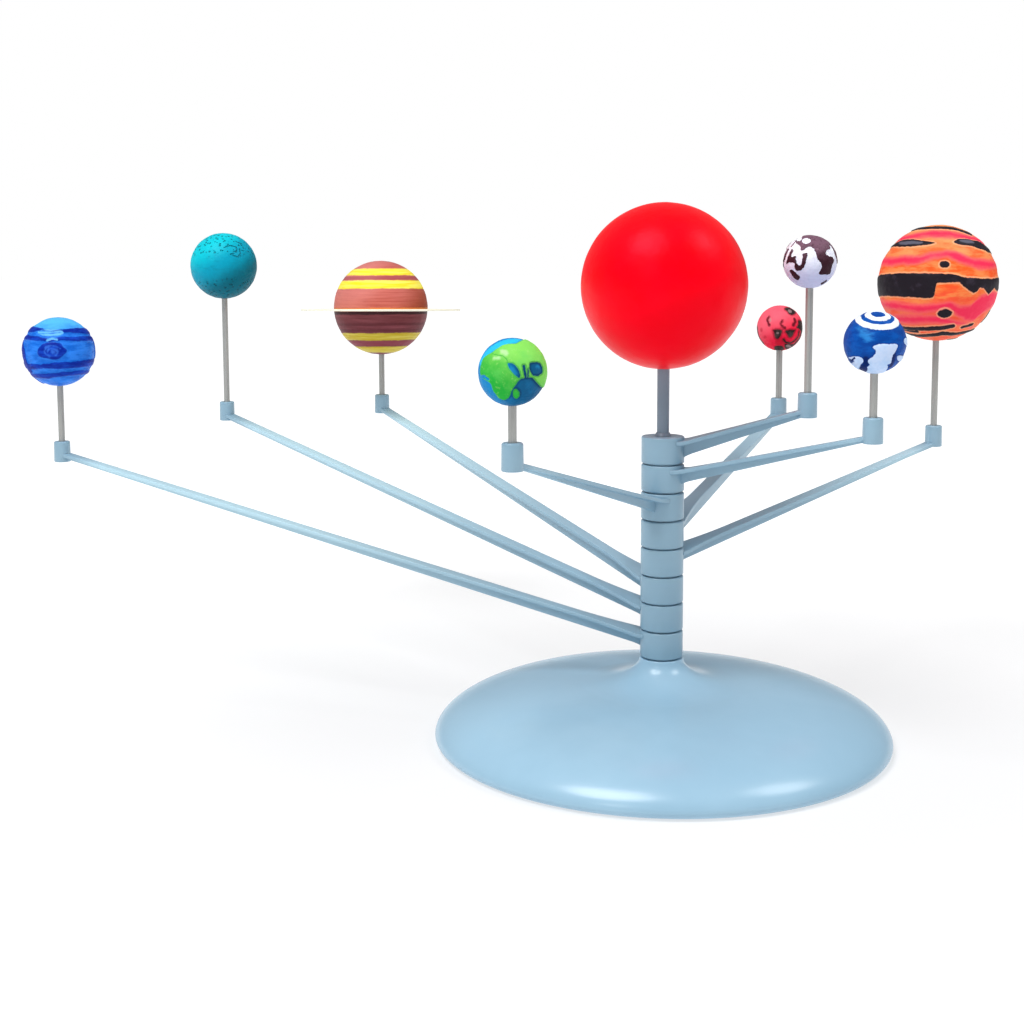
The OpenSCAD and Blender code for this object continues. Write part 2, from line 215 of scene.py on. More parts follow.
# an outline of (radius, height) points turned round an upright axis at (x, y)
def turned(mesh, outline, steps, at=(0.0, 0.0), closed=True):
    middle = Vector((at[0], at[1], 0.0)) * mm
    ring = [mesh.verts.new(middle + Vector((r, 0.0, z)) * mm) for r, z in outline]
    pairs = list(zip(ring, ring[1:]))
    if closed:
        pairs.append((ring[-1], ring[0]))
    edges = [mesh.edges.new(pair) for pair in pairs]
    bmesh.ops.spin(mesh, geom=ring + edges, cent=middle, axis=(0, 0, 1), angle=2 * math.pi,
                   steps=steps, use_merge=True, use_duplicate=False)


# part of a rounded corner: centre, radius, from one angle to another
def corner(x, z, r, start, end, count):
    return [(x + r * math.cos(math.radians(start + (end - start) * i / count)),
             z + r * math.sin(math.radians(start + (end - start) * i / count)))
            for i in range(count + 1)]


base = dict(radius=75.0, domeHeight=18.8, rimWidth=3.75, rimHeight=2.45, wall=2.2,
            roundness=2.81, flatness=1.77, pedestalRadius=7.2, pedestalTop=27.2,
            flareWidth=22.0, flareHeight=8.9, flareEnd=81.0, boreRadius=2.02,
            bossRadius=5.2, bossFoot=7.0, lip=0.35, turns=240, domeSteps=60, flareSteps=30,
            hollowSteps=40)


def domeHeight(r, edge, top):
    fall = 1 - min(r / edge, 1.0) ** base["roundness"]
    return base["rimHeight"] + (top - base["rimHeight"]) * fall ** (1 / base["flatness"])


def makeBase():
    b = base
    mesh = bmesh.new()
    rimMiddle = b["radius"] - b["rimWidth"]
    rim = [(rimMiddle + b["rimWidth"] * math.cos(math.radians(a)),
            b["rimHeight"] + b["rimHeight"] * math.sin(math.radians(a)))
           for a in range(-90, 1, 6)]  # a quarter turn up to the rim's widest line
    flareFoot = b["pedestalRadius"] + b["flareWidth"] * (1 - math.cos(math.radians(b["flareEnd"])))
    dome = []
    for i in range(1, b["domeSteps"] + 1):
        inwards = 1 - math.cos(math.radians(90 * i / b["domeSteps"]))
        r = b["radius"] - (b["radius"] - flareFoot) * inwards
        dome.append((r, domeHeight(r, b["radius"], b["domeHeight"])))
    flare = []
    for i in range(1, b["flareSteps"] + 1):
        a = math.radians(b["flareEnd"] * (1 - i / b["flareSteps"]))
        flare.append((b["pedestalRadius"] + b["flareWidth"] * (1 - math.cos(a)),
                      b["pedestalTop"] - b["flareHeight"] * math.sin(a)))
    flare[-1] = (b["pedestalRadius"], b["pedestalTop"] - b["lip"])
    lip = corner(b["pedestalRadius"] - b["lip"], b["pedestalTop"] - b["lip"], b["lip"], 20, 90, 4)
    hollow = b["radius"] - b["rimWidth"] - b["wall"]
    under = [(b["boreRadius"], b["bossFoot"]), (b["bossRadius"], b["bossFoot"]),
             (b["bossRadius"], b["domeHeight"] - b["wall"] - 0.1)]
    for i in range(1, b["hollowSteps"] + 1):
        outwards = math.sin(math.radians(90 * i / b["hollowSteps"]))
        r = b["bossRadius"] + (hollow - b["bossRadius"]) * outwards
        under.append((r, domeHeight(r, hollow, b["domeHeight"] - b["wall"])))
    outline = rim + dome + flare + lip + [(b["boreRadius"], b["pedestalTop"])] + under
    outline.append((hollow, 0.0))
    turned(mesh, outline, b["turns"])
    toPiece("base_moulding", mesh, "base", "base_shell", moulding)


makeBase()
print("base made")

column = dict(stackFoot=27.2, pitch=9.2, count=8, hubRadius=7.0, hubHeight=8.6, boss=5.8,
              bossHeight=0.5, bore=2.05, edge=0.5, lowEdge=0.25, turns=96)
arm = dict(flange=4.6, flangeThick=1.3, web=1.8, drop=1.2, spread=50.0, run=30.0, bend=1.8,
           edgeRound=0.2, sharp=0.7, fillet=0.5, filletRun=2.0, webLeast=0.45, rootSteps=16,
           barSteps=8,
           socketRadius=3.15, socketHeight=8.0, socketTop=0.65, socketFoot=0.3, draft=0.1,
           pin=1.22, pinFloor=2.0, pinEdge=0.25, turns=48)
# reach and heading of each arm, its socket's foot, the arm's depth at its two ends and its
# height above the foot, then the ball's height and diameter
planets = dict(
    mercury=dict(reach=46.0, heading=354.5, foot=107.7, root=5.2, tip=2.4, lift=0.6,
                 ballZ=157.2, ballD=17.2),
    venus=dict(reach=69.0, heading=336.3, foot=102.5, root=4.5, tip=1.8, lift=0.9,
                 ballZ=133.2, ballD=19.0),
    earth=dict(reach=89.0, heading=242.4, foot=100.4, root=4.2, tip=1.6, lift=1.1,
                 ballZ=127.9, ballD=19.4),
    mars=dict(reach=108.0, heading=65.6, foot=95.9, root=6.9, tip=2.7, lift=0,
                 ballZ=131.0, ballD=17.6),
    jupiter=dict(reach=136.0, heading=41.3, foot=86.7, root=4.3, tip=1.6, lift=0.4,
                 ballZ=148.5, ballD=44.4),
    saturn=dict(reach=191.0, heading=129.4, foot=91.4, root=5.3, tip=2.1, lift=0.6,
                 ballZ=136.9, ballD=40.4),
    uranus=dict(reach=228.0, heading=144.5, foot=89.4, root=4.3, tip=2.3, lift=0.8,
                 ballZ=155.1, ballD=27.8),
    neptune=dict(reach=244.0, heading=163.1, foot=79.7, root=4.4, tip=2.0, lift=1.7,
                 ballZ=122.7, ballD=27.6),
)


def hubTop(level):
    return column["stackFoot"] + column["pitch"] * (column["count"] + 1 - level)


def addHub(mesh, top):
    c = column
    foot = top - c["hubHeight"]
    outline = [(c["bore"], foot - c["bossHeight"]), (c["boss"], foot - c["bossHeight"]),
               (c["boss"], foot)]
    low = c["lowEdge"]
    outline += corner(c["hubRadius"] - low, foot + low, low, -90, 0, 3)
    outline += corner(c["hubRadius"] - c["edge"], top - c["edge"], c["edge"], 0, 90, 6)
    outline += corner(c["bore"] + low, top - low, low, 90, 180, 3)
    turned(mesh, outline, c["turns"])


def addSocket(mesh, reach, foot):
    a = arm
    top = foot + a["socketHeight"]
    low, high, edge = a["socketFoot"], a["socketTop"], a["pinEdge"]
    outline = [(0.0, foot)] + corner(a["socketRadius"] - low, foot + low, low, -90, 0, 3)
    outline += corner(a["socketRadius"] - high - a["draft"], top - high, high, 0, 90, 6)
    outline += corner(a["pin"] + edge, top - edge, edge, 90, 180, 3)
    outline += [(a["pin"], foot + a["pinFloor"]), (0.0, foot + a["pinFloor"])]
    turned(mesh, outline, a["turns"], (reach, 0.0), closed=False)


# the T-shaped bar: one section, extruded through stations that follow the arm's lines
def addBar(mesh, p, top):
    a = arm
    reach = p["reach"]
    foot = p["foot"] + p["lift"]
    tip = foot + p["tip"]
    hub = column["hubRadius"]
    climb = (tip - top) / (reach - hub)
    sink = (foot - (top - p["root"])) / (reach - hub)
    rootX = hub * math.cos(math.radians(a["spread"]))
    rootW = hub * math.sin(math.radians(a["spread"]))

    def section(x):
        u = min(max((x - rootX) / (a["run"] - rootX), 0.0), 1.0)
        wide = a["flange"] / 2 + (rootW - a["flange"] / 2) * (1 - u) ** a["bend"]
        half = a["web"] / 2
        high = top + climb * max(x - hub, 0.0)
        neck = high - a["flangeThick"]
        low = top - p["root"] + sink * (x - hub)
        low -= a["fillet"] * (1 - min(max((x - hub) / a["filletRun"], 0.0), 1.0)) ** 2
        low = min(low, neck - a["webLeast"])
        return [Vector(q) * mm for q in (
            (x, -wide, high), (x, wide, high), (x, wide, neck), (x, half, neck),
            (x, half, low), (x, -half, low), (x, -half, neck), (x, -wide, neck))]

    root, out = a["rootSteps"], a["barSteps"]
    stations = [rootX + 0.3 + (a["run"] - rootX) * i / root for i in range(root + 1)]
    stations += [a["run"] + 1.5 + (reach - 2.0 - a["run"]) * i / out for i in range(out + 1)]
    ring = [mesh.verts.new(q) for q in section(stations[0])]
    face = mesh.faces.new(ring)
    for x in stations[1:]:
        grown = bmesh.ops.extrude_face_region(mesh, geom=[face])["geom"]
        face = [g for g in grown if isinstance(g, bmesh.types.BMFace)][0]
        for vert, spot in zip(face.verts, section(x)):
            vert.co = spot


def makeBar(p, top):
    mesh = bmesh.new()
    addBar(mesh, p, top)
    bmesh.ops.remove_doubles(mesh, verts=mesh.verts, dist=0.000001)
    bmesh.ops.recalc_face_normals(mesh, faces=mesh.faces)
    inner = [f for f in mesh.faces
             if len(f.verts) == 8 and min(len(e.link_faces) for e in f.edges) > 2]
    bmesh.ops.delete(mesh, geom=inner, context="FACES_ONLY")
    bmesh.ops.recalc_face_normals(mesh, faces=mesh.faces)
    corners = []  # the edges that run along the bar
    for edge in mesh.edges:
        if len(edge.link_faces) != 2 or any(len(f.verts) == 8 for f in edge.link_faces):
            continue
        if edge.calc_face_angle() > arm["sharp"]:
            corners.append(edge)
    bmesh.ops.bevel(mesh, geom=corners, offset=arm["edgeRound"] * mm, offset_type="OFFSET",
                    affect="EDGES", segments=3, profile=0.5, material=-1)
    return mesh


def makeArm(name, level):
    p = planets[name]
    top = hubTop(level)
    mesh = makeBar(p, top - arm["drop"])
    addHub(mesh, top)
    addSocket(mesh, p["reach"], p["foot"])
    bmesh.ops.rotate(mesh, verts=mesh.verts, cent=(0, 0, 0),
                     matrix=Matrix.Rotation(math.radians(p["heading"]), 3, "Z"))
    piece = toPiece(name + "_arm_moulding", mesh, name, name + "_arm", armMoulding)
    away = [math.hypot(v.co.x, v.co.y) / mm for v in piece.data.vertices]
    socketSide = p["reach"] - arm["socketRadius"]
    setField(piece, "bar_out", [r if r < socketSide else 0.0 for r in away])


for level, name in enumerate(planets, 1):
    makeArm(name, level)
print("arms made")

# Shapes are drawn on the ball's own face: across to the right and up, in ball radii, as its
# front is looked at. Past 1 a shape goes on round the side. Belts use degrees round the ball.


def curved(a, b, c, d, t):
    return tuple(q + 0.5 * t * (r - p + t * (2 * p - 5 * q + 4 * r - s + t * (3 * (q - r) + s - p)))
                 for p, q, r, s in zip(a, b, c, d))


# three noises side by side, the same in every run
def drift(q):
    return Vector((noise.noise(q + Vector((9.3, -1.5, -8.0))), noise.noise(q),
                   noise.noise(q + Vector((-6.3, 7.9, 4.6)))))


# how far points lie inside a shape, in radii: more than nothing is inside
class Canvas:
    def __init__(self, points, wobble, seed):
        warp = []
        for p in points:
            q = Vector(p) * 5.0 + Vector((seed, 0.0, 0.0))
            warp.append(drift(q) * 0.5 + drift(q * 2.7) * 0.35 + drift(q * 6.3) * 0.25)
        self.points = points
        bent = points + np.array(warp) * wobble
        bent /= np.linalg.norm(bent, axis=1)[:, None]
        self.bent = bent

    # the face spread flat: distance from its middle is the angle, in quarter turns
    def spread(self, back=False):
        x, y, z = self.bent.T
        if back:
            x, y = -x, -y
        along = np.arccos(np.clip(-y, -1, 1)) / (math.pi / 2)
        size = np.maximum(np.sqrt(x * x + z * z), 1e-6)
        return along * x / size, along * z / size

    def patch(self, corners, back=False, soft=3):
        flat = [self.flat(c) for c in corners]
        if soft:  # a smooth line through the corners
            count = len(flat)
            flat = [curved(flat[i - 1], flat[i], flat[(i + 1) % count], flat[(i + 2) % count], t / soft)
                    for i in range(count) for t in range(soft)]
        x, z = self.spread(back)
        near = np.full(len(x), 9.0)
        inside = np.zeros(len(x), bool)
        for (ax, az), (bx, bz) in zip(flat, flat[1:] + flat[:1]):
            near = np.minimum(near, self.gap(x, z, ax, az, bx, bz))
            crosses = (az > z) != (bz > z)
            slope = np.where(abs(bz - az) < 1e-9, 0, (bx - ax) * (z - az) / (bz - az + 1e-12) + ax)
            inside ^= crosses & (x < slope)
        return np.where(inside, near, -near) * (math.pi / 2)

    def spot(self, across, up, wide, tall, tilt=0.0, back=False):
        t = math.radians(tilt)
        edge = []
        for i in range(16):
            u, v = wide * math.cos(i * math.pi / 8), tall * math.sin(i * math.pi / 8)
            edge.append((across + u * math.cos(t) - v * math.sin(t),
                         up + u * math.sin(t) + v * math.cos(t)))
        return self.patch(edge, back, 0)

    def streak(self, corners, width, back=False):
        flat = [self.flat(c) for c in corners]
        x, z = self.spread(back)
        near = np.full(len(x), 9.0)
        for (ax, az), (bx, bz) in zip(flat, flat[1:]):
            near = np.minimum(near, self.gap(x, z, ax, az, bx, bz))
        return width - near * (math.pi / 2)

    # a band round the ball between two lines of (degrees round, up) points
    def belt(self, top, bottom):
        x, y, z = self.bent.T
        turn = np.degrees(np.arctan2(x, -y))
        lines = [np.interp(turn, [p[0] for p in line], [p[1] for p in line], period=360)
                 for line in (top, bottom)]
        return np.minimum(lines[0] - z, z - lines[1])

    def level(self, top, bottom):
        z = self.bent[:, 2]
        return np.minimum(top - z, z - bottom)

    # rings about a point on the face, by degrees away from it
    def around(self, across, up, degrees):
        c = np.array((across, -math.sqrt(max(1 - across * across - up * up, 0)), up))
        away = np.degrees(np.arccos(np.clip(self.bent @ c, -1, 1)))
        return np.radians(degrees - away)

    @staticmethod
    def flat(point):
        x, z = point
        size = math.hypot(x, z)
        if size < 1e-6:
            return (0.0, 0.0)
        along = math.asin(size) / (math.pi / 2) if size < 1 else size
        return (x / size * along, z / size * along)

    @staticmethod
    def gap(x, z, ax, az, bx, bz):
        dx, dz = bx - ax, bz - az
        t = np.clip(((x - ax) * dx + (z - az) * dz) / (dx * dx + dz * dz + 1e-12), 0, 1)
        return np.hypot(x - ax - t * dx, z - az - t * dz)


def join(*fields):
    return np.maximum.reduce(fields)


def cut(field, *others):
    return np.minimum(field, -join(*others))


# raised paint: a soft shoulder at the edge of a field
def raised(field, shoulder=0.02):
    return np.clip(field / shoulder * 0.5 + 0.5, 0, 1)


def makeBall(name, node, body, ball, draw, material):
    centre = Vector(ball["centre"]) * mm
    radius = ball["diameter"] / 2 * mm
    mesh = bmesh.new()
    bmesh.ops.create_icosphere(mesh, subdivisions=ballFineness, radius=1.0)
    spots = np.array([v.co[:] for v in mesh.verts])
    turn = Matrix.Rotation(math.radians(ball["turn"]), 3, "Z") @ Matrix.Rotation(
        math.radians(ball["lean"]), 3, "X")
    own = spots @ np.array(turn)  # in the ball's own directions, its face towards -Y
    own /= np.linalg.norm(own, axis=1)[:, None]
    canvas = Canvas(own, ball["wobble"], ball["seed"])
    fields, height = draw(canvas)
    rough = np.array([noise.fractal(Vector(p) * ball["lump"][0], 0.8, 2.0, 3) for p in own])
    size = radius - (ball["relief"] * (1 - height) + ball["lump"][1] * (0.6 + rough)) * mm
    size = np.minimum(size, radius)
    for vert, place, r in zip(mesh.verts, spots, size):
        vert.co = centre + Vector(place) * r
    piece = toPiece(name, mesh, body, node, material, 0)
    for key, field in fields.items():
        setField(piece, key, field.astype(np.float32))


def ballOf(name, **more):
    p = planets[name]
    a = math.radians(p["heading"])
    made = dict(centre=(p["reach"] * math.cos(a), p["reach"] * math.sin(a), p["ballZ"]),
                diameter=p["ballD"], slot=name + "_paint")
    made.update(more)
    return made


paintGloss = 0.1
ballFineness = 7


def tones(thing):
    return {key: paint(*colour) for key, colour in thing["colours"].items()}


# brushed paint: a fine grain over wider strokes, each a depth and a strength
def brushed(f, ball, colour, fine, strokes):
    skin = f.bump(fine, ball["grain"][0] * mm, ball["grain"][1])
    skin = f.bump(strokes, ball["strokes"][0] * mm, ball["strokes"][1], skin)
    return f.surface(Base_Color=colour, Roughness=ball["rough"] + 0.2 * fine,
                     Specular_IOR_Level=paintGloss, Normal=skin)


sun = dict(centre=(0.0, 0.0, 149.5), diameter=53.8, slot="sun_paint", turn=0.0, lean=0.0,
           wobble=0.0, seed=1.0, lump=(3.0, 0.08), relief=0.0,
           grain=(0.16, 0.28), strokes=(0.5, 0.14), rough=0.3, gloss=0.14,
           tint=(1.0, 0.26, 0.6, 1.0), paintedLight=(1.0, 0.0, 0.01, 1.0), glowStrength=0.05,
           colours=dict(red=(255, 0, 22), redDeep=(248, 0, 14), fleck=(255, 10, 40)))


def drawSun(c):
    return {}, np.ones(len(c.points))


def sunFinish():
    f = Finish("sun_paint")
    t = tones(sun)
    dab = f.noise(90.0, 4.0, 0.6)
    fine = f.noise(900.0, 4.0, 0.65)
    colour = f.mottle(dab, 0.3, 0.7, t["red"], t["redDeep"])
    colour = f.cover(fine, 0.5, 0.9, 0.3, colour, t["fleck"])
    skin = f.bump(fine, sun["grain"][0] * mm, sun["grain"][1])
    skin = f.bump(f.noise(220.0, 3.0, 0.5), sun["strokes"][0] * mm, sun["strokes"][1], skin)
    # painted light: the ball gives off a faint red light though it is no lamp
    return f.surface(Base_Color=colour, Roughness=sun["rough"] + 0.12 * fine, Normal=skin,
                     Specular_IOR_Level=sun["gloss"], Specular_Tint=sun["tint"],
                     Emission_Color=sun["paintedLight"], Emission_Strength=sun["glowStrength"])


makeBall("sun_painted", "sun_ball", "base", sun, drawSun, sunFinish())

mercury = ballOf("mercury", turn=-5.5, lean=-1.0, wobble=0.045, seed=2.0, lump=(5.0, 0.08),
                 relief=0.22, grain=(0.12, 0.35), strokes=(0.4, 0.25), rough=0.36,
                 colours=dict(shadow=(198, 200, 232), white=(243, 246, 255), lilac=(214, 206, 238),
                              rock=(54, 24, 34), rockLit=(120, 86, 104), rockFleck=(50, 22, 36),
                              rockDab=(150, 118, 134)))


def drawMercury(c):
    cap = cut(c.patch([(-0.27, 0.95), (0, 0.98), (0.25, 0.94), (0.45, 0.86), (0.6, 0.72), (0.72, 0.56),
                       (0.72, 0.45), (0.6, 0.42), (0.58, 0.28), (0.68, 0.2), (0.8, 0.18), (0.88, 0.05),
                       (0.82, -0.1), (0.77, -0.3), (0.72, -0.47), (0.5, -0.48), (0.33, -0.47),
                       (0.36, -0.36), (0.42, -0.2), (0.38, -0.05), (0.26, 0.12), (0.2, 0.32),
                       (0.12, 0.47), (0, 0.53), (-0.12, 0.5), (-0.22, 0.42), (-0.33, 0.42),
                       (-0.36, 0.55), (-0.5, 0.68), (-0.55, 0.8), (-0.42, 0.75), (-0.33, 0.82)]),
              c.spot(-0.14, 0.76, 0.16, 0.1))
    hook = c.patch([(-0.68, 0.46), (-0.6, 0.4), (-0.68, 0.2), (-0.52, 0.2), (-0.5, 0), (-0.46, -0.1),
                    (-0.36, -0.14), (-0.3, -0.04), (-0.28, 0.12), (-0.28, 0.28), (-0.2, 0.32),
                    (-0.1, 0.3), (-0.12, 0.1), (-0.18, -0.1), (-0.22, -0.25), (-0.35, -0.33),
                    (-0.5, -0.33), (-0.55, -0.2), (-0.56, -0.06), (-0.72, -0.04), (-0.87, -0.05),
                    (-0.84, 0.1), (-0.76, 0.28)])
    small = join(c.patch([(-0.74, -0.36), (-0.64, -0.3), (-0.36, -0.54), (-0.42, -0.68),
                          (-0.56, -0.62)]),
                 c.streak([(-0.96, 0.03), (-0.91, 0.24), (-0.83, 0.42)], 0.1),
                 c.streak([(-0.68, 0.58), (-0.55, 0.72)], 0.045),
                 c.streak([(0.46, 0.84), (0.72, 0.64), (0.88, 0.4), (0.97, 0.15), (0.99, -0.02)], 0.1),
                 c.streak([(0.45, -0.82), (0.6, -0.72)], 0.07),
                 c.streak([(-0.97, -0.1), (-0.96, -0.18)], 0.08))
    far = join(c.patch([(-0.7, 0.5), (-0.2, 0.7), (0.2, 0.5), (0, 0.2), (-0.3, 0.35), (-0.5, 0.1)],
                       True),
               c.patch([(0.2, 0.1), (0.6, 0.2), (0.7, -0.3), (0.4, -0.6), (0.3, -0.2)], True),
               c.spot(-0.4, -0.4, 0.25, 0.12, 30, True), c.spot(0.05, -0.75, 0.12, 0.1, 0, True),
               c.spot(0.75, 0.55, 0.12, 0.2, 20, True))
    field = join(cap, hook, small, far)
    return {"rock": field, "mercury_up": c.points[:, 2]}, raised(field)


def mercuryFinish():
    f = Finish("mercury_paint")
    t = tones(mercury)
    dab = f.noise(330.0, 4.0, 0.6)
    fine = f.noise(1100.0, 4.0, 0.6)
    up = f.field("mercury_up")
    # painted light and shade: the white shades to lavender towards the bottom, and the rock is lighter
    # towards the top
    under = f.mottle(up, -0.7, 0.45, t["shadow"], t["white"])
    under = f.cover(dab, 0.45, 0.75, 0.4, under, t["lilac"])
    rock = f.mottle(up + (dab - 0.5) * 0.7, -0.1, 0.75, t["rock"], t["rockLit"])
    rock = f.cover(fine, 0.5, 0.7, 0.5, rock, t["rockFleck"])
    rock = f.cover(dab, 0.56, 0.74, 0.35, rock, t["rockDab"])
    mask = f.step(f.field("rock") + (fine - 0.5) * 0.08 + (dab - 0.5) * 0.05, -0.01, 0.012)
    colour = f.blend(mask, under, rock)
    return brushed(f, mercury, colour, fine, dab)


makeBall("mercury_painted", "mercury_ball", "mercury", mercury, drawMercury, mercuryFinish())

venus = ballOf("venus", turn=-8.0, lean=-3.0, wobble=0.03, seed=3.0, lump=(5.0, 0.06), relief=0.2,
               grain=(0.12, 0.35), strokes=(0.4, 0.25), rough=0.36,
               colours=dict(sea=(0, 66, 152), seaLight=(2, 84, 176), sea_highlight=(56, 156, 232),
                            deep=(0, 32, 98), edge=(0, 40, 112), land=(204, 222, 252),
                            landDab=(184, 212, 248), rings=(246, 254, 255), ringsDab=(226, 240, 252)))


def drawVenus(c):
    eye = (0.08, 0.92)
    rings = join(cut(c.around(*eye, 43.5), c.around(*eye, 32)),
                 cut(c.around(*eye, 24), c.around(*eye, 13)))
    land = join(c.patch([(0, -0.1), (0.12, -0.05), (0.4, -0.04), (0.66, -0.05), (0.69, -0.14),
                         (0.62, -0.3),
                         (0.55, -0.42), (0.56, -0.52), (0.5, -0.66), (0.4, -0.7), (0.42, -0.8),
                         (0.34, -0.92), (0.25, -1.02), (0, -1.06), (-0.2, -0.98), (-0.26, -0.84),
                         (-0.14, -0.72), (-0.22, -0.6), (-0.13, -0.5), (0, -0.4), (0.03, -0.24),
                         (-0.06, -0.16)]),
                c.patch([(-0.82, -0.5), (-0.66, -0.46), (-0.46, -0.46), (-0.36, -0.52), (-0.35, -0.62),
                         (-0.42, -0.7), (-0.46, -0.84), (-0.6, -0.8), (-0.72, -0.7), (-0.62, -0.6)]),
                c.patch([(0.9, 0.12), (1.0, 0.16), (1.1, 0), (1.0, -0.12), (0.92, -0.02)]),
                c.patch([(0.7, -0.44), (0.82, -0.4), (0.9, -0.48), (0.82, -0.6), (0.72, -0.56)]),
                c.streak([(-0.84, -0.6), (-0.7, -0.76), (-0.52, -0.9)], 0.04),
                c.patch([(-0.5, 0.2), (-0.1, 0.35), (0.3, 0.2), (0.45, -0.1), (0.1, -0.2), (-0.2, -0.5),
                         (-0.5, -0.3)], True),
                c.patch([(0.6, 0.2), (0.85, 0.1), (0.8, -0.4), (0.6, -0.5)], True),
                c.spot(-0.8, -0.3, 0.1, 0.25, 0, True))
    deep = join(c.spot(-0.34, -0.84, 0.13, 0.12), c.streak([(-0.26, -0.54), (-0.28, -0.7)], 0.08),
                c.streak([(-0.62, -0.5), (-0.74, -0.62)], 0.035),
                c.streak([(0.6, -0.4), (0.52, -0.76)], 0.06))
    land = cut(land, deep)
    # a painted highlight on the sea, at the upper left
    sea_highlight = c.patch([(-0.52, 0.44), (-0.2, 0.34), (-0.12, 0.16), (-0.22, 0.06), (-0.4, 0.2)])
    return {"cloud": rings, "mist": land, "deep": deep, "sea_highlight": sea_highlight}, raised(join(rings, land))


def venusFinish():
    f = Finish("venus_paint")
    t = tones(venus)
    dab = f.noise(330.0, 4.0, 0.6)
    fine = f.noise(1200.0, 4.0, 0.6)
    sweep = f.noise(260.0, 4.0, 0.6, (1.0, 1.0, 2.6))
    sea = f.mottle(sweep, 0.35, 0.66, t["sea"], t["seaLight"])
    # painted highlight on the sea
    sea_highlight = f.field("sea_highlight") + (sweep - 0.5) * 0.5
    sea = f.cover(sea_highlight, -0.14, 0.1, 0.6, sea, t["sea_highlight"])
    sea = f.mottle(f.field("deep") + (dab - 0.5) * 0.05, -0.08, 0.02, sea, t["deep"])
    sea = f.cover(f.field("mist"), -0.07, -0.01, 0.5, sea, t["edge"])
    wobble = (fine - 0.5) * 0.04
    colour = f.mottle(f.field("mist") + wobble, -0.01, 0.012, sea,
                      f.mottle(dab, 0.4, 0.7, t["land"], t["landDab"]))
    colour = f.mottle(f.field("cloud") + wobble, -0.01, 0.012, colour,
                      f.mottle(dab, 0.4, 0.7, t["rings"], t["ringsDab"]))
    return brushed(f, venus, colour, fine, dab)


makeBall("venus_painted", "venus_ball", "venus", venus, drawVenus, venusFinish())

earth = ballOf("earth", turn=5.9, lean=-3.5, wobble=0.03, seed=4.0, lump=(5.0, 0.07), relief=0.3,
               grain=(0.14, 0.4), strokes=(0.5, 0.3), rough=0.36,
               colours=dict(seaLit=(8, 138, 206), seaShaded=(6, 88, 134), seaDab=(24, 122, 178),
                            frost=(40, 190, 246), shoreShade=(0, 54, 96), inlet=(36, 150, 208),
                            green=(34, 176, 58), greenWarm=(134, 218, 92), fleck=(168, 226, 124),
                            meadow=(84, 204, 96), haze=(206, 240, 186), vein=(42, 164, 60),
                            rimLit=(70, 196, 96), rimShaded=(34, 132, 52)))


def drawEarth(c):
    land = c.patch([(-0.92, 0.02), (-0.9, 0.19), (-0.84, 0.36), (-0.74, 0.48), (-0.6, 0.55),
                    (-0.48, 0.64), (-0.36, 0.72), (-0.2, 0.8), (0, 0.82), (0.15, 0.83), (0.26, 0.91),
                    (0.5, 0.97), (0.75, 0.8), (0.95, 0.5), (1.05, 0.2), (1.06, -0.2), (0.98, -0.42),
                    (0.85, -0.45), (0.7, -0.3), (0.58, -0.15), (0.45, -0.14), (0.28, -0.16),
                    (0.18, -0.22), (0.1, -0.35), (0, -0.5), (-0.06, -0.64), (-0.15, -0.76),
                    (-0.3, -0.78), (-0.45, -0.66), (-0.55, -0.5), (-0.62, -0.32), (-0.74, -0.22),
                    (-0.88, -0.12)])
    water = join(c.patch([(-0.12, 0.27), (0.02, 0.25), (0.12, 0.16), (0.19, 0.05), (0.23, -0.08),
                          (0.2, -0.16), (0.08, -0.07), (-0.02, 0.05), (-0.1, 0.15)]),
                 c.streak([(0.33, 0.18), (0.36, 0.02), (0.38, -0.2)], 0.035),
                 c.streak([(0.45, 0.08), (0.43, -0.2)], 0.022),
                 c.patch([(0.49, 0.24), (0.6, 0.29), (0.76, 0.27), (0.85, 0.16), (0.86, 0),
                          (0.76, -0.1),
                          (0.58, -0.08), (0.5, 0.08)]),
                 c.streak([(-0.9, -0.12), (-0.78, -0.12), (-0.68, -0.19)], 0.045))
    isle = c.patch([(0.04, -0.5), (0.12, -0.46), (0.21, -0.55), (0.2, -0.68), (0.11, -0.75),
                    (0.02, -0.66)])
    inlet = join(c.streak([(-0.02, 0.1), (0.1, -0.04)], 0.05), c.spot(0.72, 0.16, 0.06, 0.05))
    far = join(c.patch([(-0.6, 0.6), (-0.2, 0.7), (0, 0.5), (-0.2, 0.3), (-0.1, 0.1), (-0.3, -0.1),
                        (-0.5, 0.2)], True),
               c.patch([(-0.2, -0.1), (0.1, -0.15), (0.2, -0.4), (0, -0.8), (-0.1, -0.5)], True),
               c.patch([(0.45, 0.4), (0.75, 0.3), (0.7, 0), (0.5, 0.1)], True),
               c.spot(0.55, -0.45, 0.2, 0.12, 20, True))
    ground = join(cut(land, water), isle, far)
    frost = c.streak([(-0.9, 0.32), (-0.76, 0.54), (-0.5, 0.74), (-0.15, 0.88), (0.2, 0.92)], 0.17)
    cold = join(c.patch([(-0.35, 0.62), (-0.18, 0.64), (-0.1, 0.52), (-0.22, 0.46)]),
                c.streak([(-0.5, 0.4), (-0.36, 0.4)], 0.04))
    vein = c.streak([(-0.56, 0.52), (-0.4, 0.48), (-0.26, 0.46), (-0.16, 0.38), (-0.12, 0.24)], 0.014)
    lean = 0.55 * c.points[:, 0] + 0.75 * c.points[:, 2]
    return {"ground": ground, "frost": frost, "haze": cold, "inlet": inlet, "vein": vein,
            "slant": lean, "east": c.points[:, 0] - 0.3 * c.points[:, 2]}, raised(ground, 0.03)


